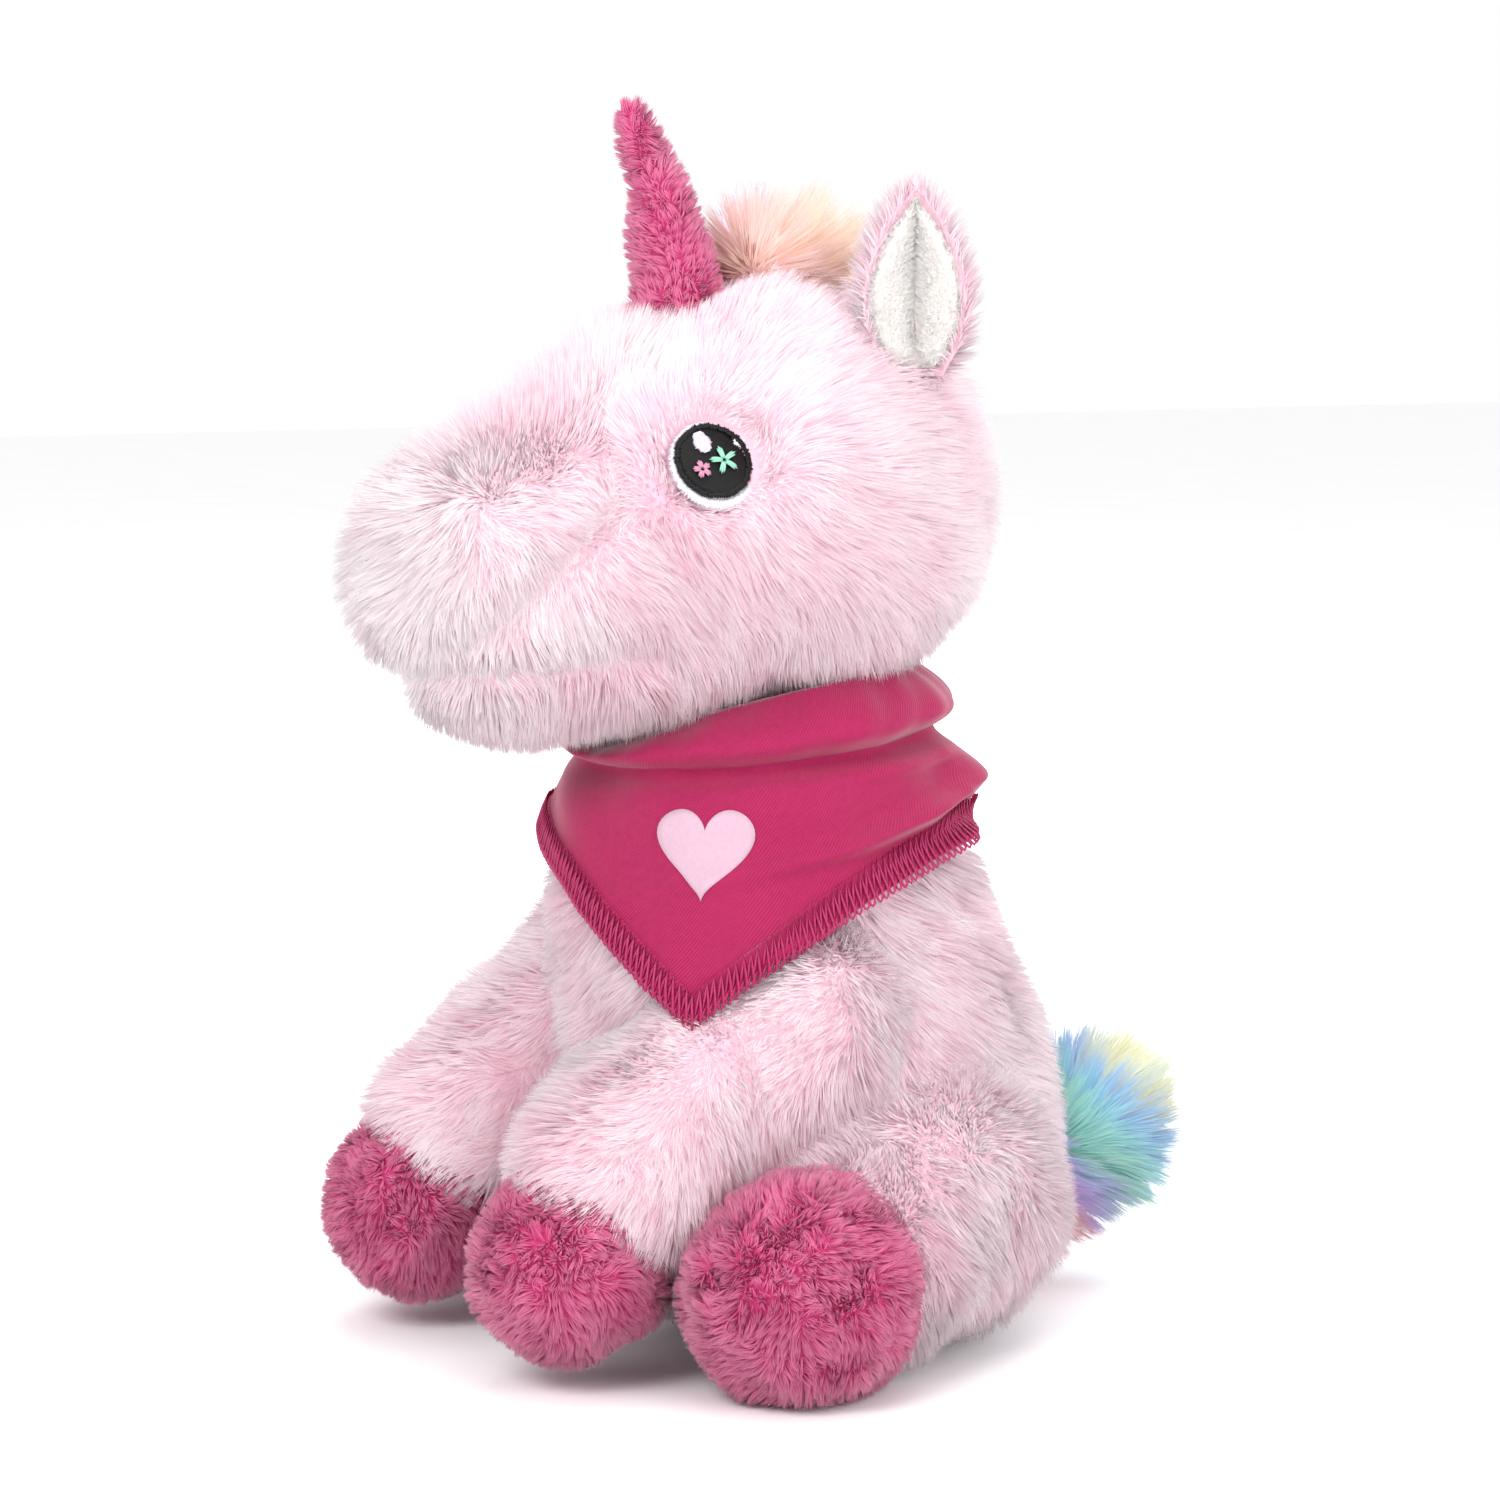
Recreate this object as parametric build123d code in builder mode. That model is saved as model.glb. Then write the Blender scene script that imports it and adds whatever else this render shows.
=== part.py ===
"""A seated plush unicorn: stuffed fabric shells sewn to a pear-shaped torso.

The toy faces -Y with its left side on +X and sits on the plane Z = 0. The head turns and nods on the
neck, each limb pivots at its seam, the ears, horn and tail flex at their roots, and a bandana turns
about the neck. Every body that moves ends in a round root which sits in a round pocket.
"""

from build123d import *
from math import acos, cos, radians, sin, sqrt
import os

# ---- driving dimensions, millimetres and degrees ----
SKIN = 2.2  # plush backing with its matted pile roots
FILL_GAP = 0.3  # between a skin and the filling inside it
SEAM_GAP = 0.5  # between bodies that move against each other

# torso: the hull of a wide belly and a narrower chest, cut level at the seat and at the neck
BELLY = Vector(0, 1, 40)
BELLY_RADIUS = 47.5
CHEST = Vector(0, -8.5, 83)
CHEST_RADIUS = 39.5
TORSO_TOP = 104
PELLET_BAG_TOP = 22
PELLET_BAG_RADIUS = 31

# neck: a short stuffed ring that turns on the torso and cups the head
NECK_AXIS_Y = -10
NECK_RADIUS = 29
NECK_BOTTOM = TORSO_TOP + SEAM_GAP
NECK_TOP = 124

# head: the hull of a round cranium and a smaller round muzzle
CRANIUM = Vector(0, -10, 165)
CRANIUM_RADIUS = 42
MUZZLE = Vector(0, -66, 151.5)
MUZZLE_RADIUS = 27.5
MUZZLE_SEAM = 39  # from the cranium's centre along the head to the muzzle's seam
MOUTH_HEIGHT = 137
NOD_RANGE = (-8, 6)  # positive lowers the muzzle

# eye: embroidered layers stacked in a shallow pocket of the head
EYE_FROM_AXIS = 34.3
EYE_ALONG_HEAD = 25.3
EYE_UP = 27.2  # degrees above the horizontal, about the head's axis
EYE_POCKET_RADIUS = 9.4
EYE_POCKET_DEPTH = 1.3
EYE_LAYER = 0.5
PUPIL_RADIUS = 7.7

# horn
HORN_ROOT = Vector(0, -28, 202)
HORN_ROOT_RADIUS = 9.5
HORN_TIP = Vector(0, -38.5, 240)
HORN_TIP_RADIUS = 2.8
HORN_SKIN = 1.6
HORN_BELLY = Vector(0, 1.6, 0)  # the horn bows forwards from a straight line
HORN_RANGE = (-12, 12)

# ears: a pointed oval leaf, hinged along its width at the root
EAR_ROOT = Vector(32.5, 6, 189.5)
EAR_FACING = -32  # degrees; the way the ear's hollow side looks, from +X
EAR_HEIGHT = 36
EAR_WIDTH = 20
EAR_THICKNESS = 6
EAR_LINING = 1.4
EAR_RANGE = (-8, 16)

# mane: a ridge sewn over the crown and down the back of the cranium
MANE_WIDTH = 13
MANE_DEPTH = 6
CREST_ARC = 88
CREST_START = 70  # degrees above straight back
FORELOCK_ARC = 27

# front legs
SHOULDER = Vector(28, -19, 64)
SHOULDER_RADIUS = 19.5
WRIST = Vector(30, -60, 36)
WRIST_RADIUS = 16.5
FRONT_HOOF = Vector(30.5, -69.5, 24)
FRONT_HOOF_RADIUS = 16
FRONT_CUFF = 54  # from the shoulder along the leg
FRONT_RANGE = (-5, 6)  # positive lowers the hoof

# hind legs
HIP = Vector(38, 6, 30)
HIP_RADIUS = 22.5
ANKLE = Vector(55.5, -28, 21)
ANKLE_RADIUS = 17
HIND_HOOF = Vector(60, -36, 19.8)
HIND_HOOF_RADIUS = 19.6
HIND_CUFF = 38  # from the hip along the leg
HIND_RANGE = (0, 18)  # positive spreads the hoof outwards

# tail
TAIL_ROOT = Vector(2, 46, 23)
TAIL_ROOT_RADIUS = 12
TAIL_TIP = Vector(9, 63, 32)
TAIL_TIP_RADIUS = 11.5
TAIL_RANGE = (-20, 20)

# bandana: a cone of cloth about the neck, cut to a point that hangs to one side of the front
CLOTH = 1.0
HEM_CLOTH = 1.8
HEM_WIDTH = 4.6
BANDANA_PROFILE = ((38.5, 118), (36, 109), (40, 100), (51.5, 68))  # inner radius, height
BANDANA_TURN = 45  # degrees from the front towards the toy's left
BANDANA_POINT = 68
BANDANA_SIDE = 101
BANDANA_HALF_WIDTH = 46
BANDANA_RANGE = (-60, 12)  # positive turns the point further to the left
PRINT_HEIGHT = 102.5
PRINT_SIZE = 9.5
PRINT_INK = 0.3
KNOT_RADIUS = 5
KNOT_HEIGHT = 111
KNOT_TAIL = 18

BOOLEAN_REACH = 200  # longer than the toy, for cutting tools

os.makedirs("parts", exist_ok=True)


def save(piece, name):
    """Label a finished sub-part and write its STEP file."""
    piece.part.label = name
    export_step(piece.part, f"parts/{name}.step")


def turned(point, pivot, axis, degrees):
    """The point turned about an axis through the pivot."""
    return pivot + (point - pivot).rotate(Axis((0, 0, 0), axis), degrees)


def pad(start, end, start_radius, end_radius, mode=Mode.ADD):
    """Add or cut the hull of two balls, revolved about the line through their centres."""
    along = end - start
    length = along.length
    lean = (start_radius - end_radius) / length
    rise = sqrt(1 - lean * lean)
    tangent_angle = acos(lean)
    back = (tangent_angle + radians(180)) / 2
    front = tangent_angle / 2
    side = along.cross(Vector(0, 0.13, 1)).normalized()
    with BuildSketch(Plane(origin=start, x_dir=along, z_dir=side)) as profile:
        with BuildLine():
            Line((-start_radius, 0), (length + end_radius, 0))
            ThreePointArc(
                (-start_radius, 0),
                (start_radius * cos(back), start_radius * sin(back)),
                (start_radius * lean, start_radius * rise),
            )
            Line(
                (start_radius * lean, start_radius * rise),
                (length + end_radius * lean, end_radius * rise),
            )
            ThreePointArc(
                (length + end_radius * lean, end_radius * rise),
                (length + end_radius * cos(front), end_radius * sin(front)),
                (length + end_radius, 0),
            )
        make_face()
    revolve(profile.sketch, axis=Axis(start, along), mode=mode)


def cut_swing(start, end, start_radius, end_radius, axis, limits):
    """Cut the flared pocket that a pad needs while it swings about its start between two limits."""
    middle = turned(end, start, axis, (limits[0] + limits[1]) / 2)
    flare = (end - start).length * sin(radians((limits[1] - limits[0]) / 2))
    pad(start, middle, start_radius + SEAM_GAP, end_radius + SEAM_GAP + flare, mode=Mode.SUBTRACT)


def mirrored(point):
    """The same point on the toy's right side."""
    return Vector(-point.X, point.Y, point.Z)


def plane_across(start, end, distance):
    """A plane square to the line from start to end, facing end."""
    along = (end - start).normalized()
    return Plane(origin=start + along * distance, z_dir=along)


# ---- torso ----
def torso_hull(shrink):
    """The torso's outer shape, moved inwards by a wall on every side."""
    pad(BELLY, CHEST, BELLY_RADIUS - shrink, CHEST_RADIUS - shrink)
    split(bisect_by=Plane.XY.offset(shrink), keep=Keep.TOP)
    split(bisect_by=Plane.XY.offset(TORSO_TOP - shrink), keep=Keep.BOTTOM)


def cut_moving_roots():
    """Cut the pockets in which the limbs and the tail turn."""
    for flip, side in ((lambda point: point, 1), (mirrored, -1)):
        cut_swing(flip(SHOULDER), flip(WRIST), SHOULDER_RADIUS, WRIST_RADIUS, (1, 0, 0), FRONT_RANGE)
        cut_swing(flip(HIP), flip(ANKLE), HIP_RADIUS, ANKLE_RADIUS, (0, 0, side), HIND_RANGE)
    cut_swing(TAIL_ROOT, TAIL_TIP, TAIL_ROOT_RADIUS, TAIL_TIP_RADIUS, (0, 0, 1), TAIL_RANGE)


def cut_wall(shrink):
    """Cut the same pockets, grown by a wall of skin, out of the filling."""
    for flip in (lambda point: point, mirrored):
        pad(flip(SHOULDER), flip(WRIST), SHOULDER_RADIUS + shrink, WRIST_RADIUS + shrink,
            mode=Mode.SUBTRACT)
        pad(flip(HIP), flip(ANKLE), HIP_RADIUS + shrink, ANKLE_RADIUS + shrink,
            mode=Mode.SUBTRACT)
    pad(TAIL_ROOT, TAIL_TIP, TAIL_ROOT_RADIUS + shrink, TAIL_TIP_RADIUS + shrink,
        mode=Mode.SUBTRACT)


FILL_WALL = 8  # skin and pile kept between the filling and the moving roots

with BuildPart() as torso_core:
    torso_hull(SKIN)
    cut_wall(FILL_WALL)

with BuildPart() as torso_skin:
    torso_hull(0)
    cut_moving_roots()
    add(torso_core.part, mode=Mode.SUBTRACT)
save(torso_skin, "torso_skin")

with BuildPart() as seat_pellet_bag:
    with BuildSketch(Plane.XY.offset(SKIN + FILL_GAP)):
        with Locations((0, 2)):
            Ellipse(PELLET_BAG_RADIUS * 0.5, PELLET_BAG_RADIUS)
    extrude(amount=PELLET_BAG_TOP - SKIN)
    fillet(seat_pellet_bag.edges(), radius=5)
    with BuildPart(mode=Mode.PRIVATE) as inner_room:
        torso_hull(SKIN + FILL_GAP)
        cut_wall(FILL_WALL + FILL_GAP)
    add(inner_room.part, mode=Mode.INTERSECT)
save(seat_pellet_bag, "seat_pellet_bag")

with BuildPart() as torso_stuffing:
    add(inner_room.part)
    with BuildSketch(Plane.XY):
        with Locations((0, 2)):
            Ellipse(PELLET_BAG_RADIUS * 0.5 + FILL_GAP, PELLET_BAG_RADIUS + FILL_GAP)
    extrude(amount=PELLET_BAG_TOP + 2 * FILL_GAP, mode=Mode.SUBTRACT)
save(torso_stuffing, "torso_stuffing")


# ---- neck ----
def neck_ring(shrink, mode=Mode.ADD):
    """The neck's short column, moved inwards by a wall."""
    with BuildSketch(Plane.XY.offset(NECK_BOTTOM + shrink)) as ring:
        with Locations((0, NECK_AXIS_Y)):
            Circle(NECK_RADIUS - shrink)
    extrude(ring.sketch, amount=NECK_TOP - NECK_BOTTOM - 2 * shrink, mode=mode)


def cut_nodding_head(wall):
    """Cut the cup in which the head nods."""
    cut_swing(
        CRANIUM, MUZZLE, CRANIUM_RADIUS + wall, MUZZLE_RADIUS + wall, (1, 0, 0), NOD_RANGE
    )


with BuildPart() as neck_room:
    neck_ring(SKIN)
    cut_nodding_head(SKIN)

with BuildPart() as neck_skin:
    neck_ring(0)
    cut_nodding_head(0)
    add(neck_room.part, mode=Mode.SUBTRACT)
save(neck_skin, "neck_skin")

with BuildPart() as neck_stuffing:
    neck_ring(SKIN + FILL_GAP)
    cut_nodding_head(SKIN + FILL_GAP)
save(neck_stuffing, "neck_stuffing")


# ---- ear leaf, used for the ears and for their pockets in the head ----
def ear_plane(degrees):
    """The ear's mid plane, tipped about the hinge line at its root."""
    width_way = Vector(1, 0, 0).rotate(Axis.Z, EAR_FACING + 90)
    out_way = Vector(1, 0, 0).rotate(Axis.Z, EAR_FACING)
    tipped = out_way.rotate(Axis((0, 0, 0), width_way), degrees)
    return Plane(origin=EAR_ROOT, x_dir=width_way, z_dir=tipped)


def ear_leaf(degrees, low, high, grow, mode=Mode.ADD):
    """A pointed oval leaf between two distances from the ear's mid plane."""
    half = EAR_WIDTH / 2 + grow
    with BuildSketch(ear_plane(degrees).offset(low)) as leaf:
        with BuildLine():
            ThreePointArc((0, -grow), (half, EAR_HEIGHT * 0.56), (0, EAR_HEIGHT + grow))
            ThreePointArc((0, EAR_HEIGHT + grow), (-half, EAR_HEIGHT * 0.56), (0, -grow))
        make_face()
        fillet(leaf.vertices(), radius=4)
    extrude(leaf.sketch, amount=high - low, mode=mode)


def cut_ear_pockets():
    """Cut the slots in which both ears tip."""
    half = EAR_THICKNESS / 2
    with BuildPart(mode=Mode.PRIVATE) as pocket:
        for step in range(4):
            degrees = EAR_RANGE[0] + (EAR_RANGE[1] - EAR_RANGE[0]) * step / 3
            ear_leaf(degrees, -half - SEAM_GAP, half + EAR_LINING + SEAM_GAP, SEAM_GAP)
    add(pocket.part, mode=Mode.SUBTRACT)
    add(pocket.part.mirror(Plane.YZ), mode=Mode.SUBTRACT)


# ---- horn, used for the horn and for its pocket in the head ----
def horn_cone(shrink):
    """A slightly bowed cone with a round root."""
    middle = (HORN_ROOT + HORN_TIP) * 0.5 + HORN_BELLY
    middle_radius = (HORN_ROOT_RADIUS + HORN_TIP_RADIUS) / 2 + 0.6
    pad(HORN_ROOT, middle, HORN_ROOT_RADIUS - shrink, middle_radius - shrink)
    pad(middle, HORN_TIP, middle_radius - shrink, HORN_TIP_RADIUS - shrink)


def cut_horn_pocket(wall):
    """Cut the flared pocket in which the horn tips."""
    cut_swing(
        HORN_ROOT, HORN_TIP, HORN_ROOT_RADIUS + wall, HORN_TIP_RADIUS + wall, (1, 0, 0), HORN_RANGE
    )


# ---- head ----
HEAD_WAY = (MUZZLE - CRANIUM).normalized()
MUZZLE_PLANE = plane_across(CRANIUM, MUZZLE, MUZZLE_SEAM)
MOUTH_PLANE = Plane(origin=(0, 0, MOUTH_HEIGHT), z_dir=(0, -0.1, 1))


def head_hull(shrink, mode=Mode.ADD):
    """The head's outer shape, moved inwards by a wall."""
    pad(CRANIUM, MUZZLE, CRANIUM_RADIUS - shrink, MUZZLE_RADIUS - shrink, mode=mode)


def eye_plane():
    """The floor of the left eye's pocket, facing outwards."""
    lean = (CRANIUM_RADIUS - MUZZLE_RADIUS) / (MUZZLE - CRANIUM).length
    up_way = HEAD_WAY.cross(Vector(1, 0, 0))
    radial = Vector(cos(radians(EYE_UP)), 0, 0) + up_way * sin(radians(EYE_UP))
    outward = HEAD_WAY * lean + radial * sqrt(1 - lean * lean)
    centre = CRANIUM + HEAD_WAY * EYE_ALONG_HEAD + radial * EYE_FROM_AXIS
    return Plane(origin=centre - outward * EYE_POCKET_DEPTH, x_dir=HEAD_WAY * -1, z_dir=outward)


def cut_eye_pockets():
    """Cut the round pockets that the embroidered eyes sit in."""
    with BuildPart(mode=Mode.PRIVATE) as pocket:
        with BuildSketch(eye_plane()) as disc:
            Circle(EYE_POCKET_RADIUS)
        extrude(disc.sketch, amount=BOOLEAN_REACH / 10)
    add(pocket.part, mode=Mode.SUBTRACT)
    add(pocket.part.mirror(Plane.YZ), mode=Mode.SUBTRACT)


with BuildPart() as head_room:
    head_hull(SKIN + EYE_POCKET_DEPTH)
    cut_horn_pocket(SKIN)
    with BuildPart(mode=Mode.PRIVATE) as ear_wall:
        ear_leaf(0, -EAR_THICKNESS, EAR_THICKNESS, 2 * SKIN)
    add(ear_wall.part, mode=Mode.SUBTRACT)
    add(ear_wall.part.mirror(Plane.YZ), mode=Mode.SUBTRACT)

with BuildPart() as head_cover:
    head_hull(0)
    cut_horn_pocket(0)
    cut_ear_pockets()
    cut_eye_pockets()
    add(head_room.part, mode=Mode.SUBTRACT)

with BuildPart() as head_skin:
    add(head_cover.part)
    split(bisect_by=MUZZLE_PLANE, keep=Keep.BOTTOM)
save(head_skin, "head_skin")

with BuildPart() as muzzle_skin:
    add(head_cover.part)
    split(bisect_by=MUZZLE_PLANE, keep=Keep.TOP)
    split(bisect_by=MOUTH_PLANE, keep=Keep.TOP)
save(muzzle_skin, "muzzle_skin")

with BuildPart() as chin_skin:
    add(head_cover.part)
    split(bisect_by=MUZZLE_PLANE, keep=Keep.TOP)
    split(bisect_by=MOUTH_PLANE, keep=Keep.BOTTOM)
save(chin_skin, "chin_skin")

with BuildPart() as head_stuffing:
    head_hull(SKIN + EYE_POCKET_DEPTH + FILL_GAP)
    cut_horn_pocket(SKIN + FILL_GAP)
    with BuildPart(mode=Mode.PRIVATE) as ear_gap:
        ear_leaf(0, -EAR_THICKNESS - FILL_GAP, EAR_THICKNESS + FILL_GAP, 2 * SKIN + FILL_GAP)
    add(ear_gap.part, mode=Mode.SUBTRACT)
    add(ear_gap.part.mirror(Plane.YZ), mode=Mode.SUBTRACT)
save(head_stuffing, "head_stuffing")


# ---- embroidered eyes ----
def embroidered_star(centre_x, centre_y, arm):
    """A sketch of a five-armed star of satin bars."""
    with Locations((centre_x, centre_y)):
        with PolarLocations(arm / 2, 5, start_angle=90):
            SlotOverall(arm, arm * 0.34)


with BuildPart() as eye_left_white:
    with BuildSketch(eye_plane()):
        with Locations((-0.2, -0.4)):
            Ellipse(8.6, 8.9)
    extrude(amount=EYE_LAYER)

with BuildPart() as eye_left_pupil:
    with BuildSketch(eye_plane().offset(EYE_LAYER)):
        Circle(PUPIL_RADIUS)
    extrude(amount=EYE_LAYER)

with BuildPart() as eye_left_highlight:
    with BuildSketch(eye_plane().offset(2 * EYE_LAYER)):
        with Locations((-0.6, 4.2)):
            Ellipse(1.9, 2.2)
    extrude(amount=EYE_LAYER)

with BuildPart() as eye_left_mint_star:
    with BuildSketch(eye_plane().offset(2 * EYE_LAYER)):
        embroidered_star(2.1, -0.6, 3)
    extrude(amount=EYE_LAYER)

with BuildPart() as eye_left_pink_star:
    with BuildSketch(eye_plane().offset(2 * EYE_LAYER)):
        embroidered_star(-3.1, -1.1, 1.9)
    extrude(amount=EYE_LAYER)

for layer, left in (
    ("white", eye_left_white),
    ("pupil", eye_left_pupil),
    ("highlight", eye_left_highlight),
    ("mint_star", eye_left_mint_star),
    ("pink_star", eye_left_pink_star),
):
    save(left, f"eye_left_{layer}")
    with BuildPart() as right_layer:
        mirror(left.part, about=Plane.YZ)
    save(right_layer, f"eye_right_{layer}")

# ---- horn ----
with BuildPart() as horn_room:
    horn_cone(HORN_SKIN)

with BuildPart() as horn_skin:
    horn_cone(0)
    add(horn_room.part, mode=Mode.SUBTRACT)
save(horn_skin, "horn_skin")

with BuildPart() as horn_stuffing:
    horn_cone(HORN_SKIN + FILL_GAP)
save(horn_stuffing, "horn_stuffing")

# ---- ears ----
with BuildPart() as ear_left_outer:
    ear_leaf(0, -EAR_THICKNESS / 2, EAR_THICKNESS / 2, 0)
    fillet(ear_left_outer.faces().sort_by(Axis(EAR_ROOT, ear_plane(0).z_dir))[0].edges(), radius=2)

with BuildPart() as ear_left_lining:
    ear_leaf(0, EAR_THICKNESS / 2, EAR_THICKNESS / 2 + EAR_LINING, -2.6)

for layer, left in (("outer", ear_left_outer), ("lining", ear_left_lining)):
    save(left, f"ear_left_{layer}")
    with BuildPart() as right_layer:
        mirror(left.part, about=Plane.YZ)
    save(right_layer, f"ear_right_{layer}")


# ---- mane ----
def mane_ridge(start_angle, arc, depth):
    """A ridge on the cranium's mid line, from start_angle above straight back, going down."""
    along_back = Plane(origin=CRANIUM, x_dir=(0, 1, 0), z_dir=(1, 0, 0))
    section_way = Vector(0, cos(radians(start_angle)), sin(radians(start_angle)))
    section = Plane(origin=CRANIUM, x_dir=section_way, z_dir=section_way.cross(Vector(1, 0, 0)))
    with BuildSketch(section) as ridge:
        with Locations((CRANIUM_RADIUS + depth / 2 - 1, 0)):
            RectangleRounded(depth + 2, MANE_WIDTH, 2.5)
    revolve(ridge.sketch, axis=Axis(along_back.origin, (-1, 0, 0)), revolution_arc=arc)


with BuildPart() as mane_crest:
    mane_ridge(CREST_START, CREST_ARC, MANE_DEPTH)
    head_hull(0, mode=Mode.SUBTRACT)
save(mane_crest, "mane_crest")

with BuildPart() as mane_forelock:
    mane_ridge(CREST_START + FORELOCK_ARC + 0.5, FORELOCK_ARC, MANE_DEPTH * 2)
    head_hull(0, mode=Mode.SUBTRACT)
    cut_horn_pocket(0)
save(mane_forelock, "mane_forelock")


# ---- legs ----
def make_limb(name, root, end, radii, hoof, hoof_radius, cuff):
    """Four nodes of one leg on each side: plush and hoof skins with their filling."""
    cut = plane_across(root, end, cuff)
    toe = hoof + (end - root).normalized() * (hoof_radius * 0.1)
    for side, flip in (("left", False), ("right", True)):
        for layer, kept, shrink, wall in (
            ("skin", Keep.BOTTOM, 0, SKIN),
            ("stuffing", Keep.BOTTOM, SKIN + FILL_GAP, None),
            ("hoof_skin", Keep.TOP, 0, SKIN),
            ("hoof_stuffing", Keep.TOP, SKIN + FILL_GAP, None),
        ):
            is_hoof = kept == Keep.TOP
            first, last = (hoof, toe) if is_hoof else (root, end)
            sizes = (hoof_radius, hoof_radius - 0.4) if is_hoof else radii
            with BuildPart() as piece:
                pad(first, last, sizes[0] - shrink, sizes[1] - shrink)
                if wall:
                    pad(first, last, sizes[0] - wall, sizes[1] - wall, mode=Mode.SUBTRACT)
                split(bisect_by=cut, keep=kept)
            with BuildPart() as placed:
                add(piece.part.mirror(Plane.YZ) if flip else piece.part)
            save(placed, f"{name}_{side}_{layer}")


make_limb(
    "front_leg", SHOULDER, WRIST, (SHOULDER_RADIUS, WRIST_RADIUS),
    FRONT_HOOF, FRONT_HOOF_RADIUS, FRONT_CUFF,
)
make_limb(
    "hind_leg", HIP, ANKLE, (HIP_RADIUS, ANKLE_RADIUS),
    HIND_HOOF, HIND_HOOF_RADIUS, HIND_CUFF,
)

# ---- tail ----
with BuildPart() as tail_skin:
    pad(TAIL_ROOT, TAIL_TIP, TAIL_ROOT_RADIUS, TAIL_TIP_RADIUS)
    pad(TAIL_ROOT, TAIL_TIP, TAIL_ROOT_RADIUS - SKIN, TAIL_TIP_RADIUS - SKIN, mode=Mode.SUBTRACT)
save(tail_skin, "tail_skin")

with BuildPart() as tail_stuffing:
    fill_radii = (TAIL_ROOT_RADIUS - SKIN - FILL_GAP, TAIL_TIP_RADIUS - SKIN - FILL_GAP)
    pad(TAIL_ROOT, TAIL_TIP, *fill_radii)
save(tail_stuffing, "tail_stuffing")

# ---- bandana ----
POINT_WAY = Vector(0, -1, 0).rotate(Axis.Z, BANDANA_TURN)
NECK_AXIS = Axis((0, NECK_AXIS_Y, 0), (0, 0, 1))
FACING_PLANE = Plane(
    origin=(0, NECK_AXIS_Y, 0), x_dir=POINT_WAY.cross(Vector(0, 0, 1)) * -1, z_dir=POINT_WAY
)


def cloth_cone(lift, thickness):
    """A cone of cloth about the neck, lifted off the bandana's inner face."""
    half_plane = Plane(origin=(0, NECK_AXIS_Y, 0), x_dir=(0, 1, 0), z_dir=(1, 0, 0))
    inner = [(radius + lift, height) for radius, height in BANDANA_PROFILE]
    outer = [(radius + lift + thickness, height) for radius, height in BANDANA_PROFILE]
    with BuildSketch(half_plane) as section:
        with BuildLine():
            Polyline(*inner, *reversed(outer), close=True)
        make_face()
    revolve(section.sketch, axis=NECK_AXIS)


def point_outline(raise_by):
    """Keep what lies above the bandana's V-shaped hem, raised by a distance."""
    low = BANDANA_POINT + raise_by
    side = BANDANA_SIDE + raise_by
    with BuildSketch(FACING_PLANE) as outline:
        with BuildLine():
            Polyline(
                (0, low), (BANDANA_HALF_WIDTH, side), (BOOLEAN_REACH / 2, side),
                (BOOLEAN_REACH / 2, BOOLEAN_REACH), (-BOOLEAN_REACH / 2, BOOLEAN_REACH),
                (-BOOLEAN_REACH / 2, side), (-BANDANA_HALF_WIDTH, side), close=True,
            )
        make_face()
    extrude(outline.sketch, amount=BOOLEAN_REACH / 2, mode=Mode.INTERSECT)


HEM_RISE = HEM_WIDTH * 1.22  # the hem's width measured straight up across its slope

with BuildPart() as bandana_front:
    cloth_cone(0, CLOTH)
    point_outline(HEM_RISE)

with BuildPart() as bandana_back:
    cloth_cone(0, CLOTH)
    with BuildSketch(FACING_PLANE) as back_outline:
        with Locations((0, BANDANA_SIDE + HEM_RISE + BOOLEAN_REACH / 2)):
            Rectangle(BOOLEAN_REACH, BOOLEAN_REACH)
    extrude(back_outline.sketch, amount=-BOOLEAN_REACH / 2, mode=Mode.INTERSECT)

with BuildPart() as bandana_cloth:
    add(bandana_front.part)
    add(bandana_back.part)
save(bandana_cloth, "bandana_cloth")

with BuildPart() as bandana_hem:
    cloth_cone(0, HEM_CLOTH)
    point_outline(0)
    with BuildPart(mode=Mode.PRIVATE) as above_hem:
        cloth_cone(-CLOTH, 4 * CLOTH)
        point_outline(HEM_RISE)
    add(above_hem.part, mode=Mode.SUBTRACT)
save(bandana_hem, "bandana_hem")

with BuildPart() as bandana_print:
    cloth_cone(CLOTH, PRINT_INK)
    with BuildSketch(FACING_PLANE) as heart:
        with BuildLine():
            lobe = PRINT_SIZE * 0.5
            Line((0, PRINT_HEIGHT - PRINT_SIZE), (PRINT_SIZE, PRINT_HEIGHT))
            ThreePointArc(
                (PRINT_SIZE, PRINT_HEIGHT), (lobe * 1.35, PRINT_HEIGHT + lobe * 1.15),
                (0, PRINT_HEIGHT + lobe * 0.4),
            )
            ThreePointArc(
                (0, PRINT_HEIGHT + lobe * 0.4), (-lobe * 1.35, PRINT_HEIGHT + lobe * 1.15),
                (-PRINT_SIZE, PRINT_HEIGHT),
            )
            Line((-PRINT_SIZE, PRINT_HEIGHT), (0, PRINT_HEIGHT - PRINT_SIZE))
        make_face()
    extrude(heart.sketch, amount=BOOLEAN_REACH / 2, mode=Mode.INTERSECT)
save(bandana_print, "bandana_print")

with BuildPart() as bandana_knot:
    knot_out = BANDANA_PROFILE[0][0] + CLOTH + KNOT_RADIUS + SEAM_GAP
    across = FACING_PLANE.x_dir * (KNOT_RADIUS * 0.7)
    knot_centre = Vector(0, NECK_AXIS_Y, KNOT_HEIGHT) - POINT_WAY * knot_out
    pad(knot_centre - across, knot_centre + across, KNOT_RADIUS, KNOT_RADIUS * 0.9)
save(bandana_knot, "bandana_knot")

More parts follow.
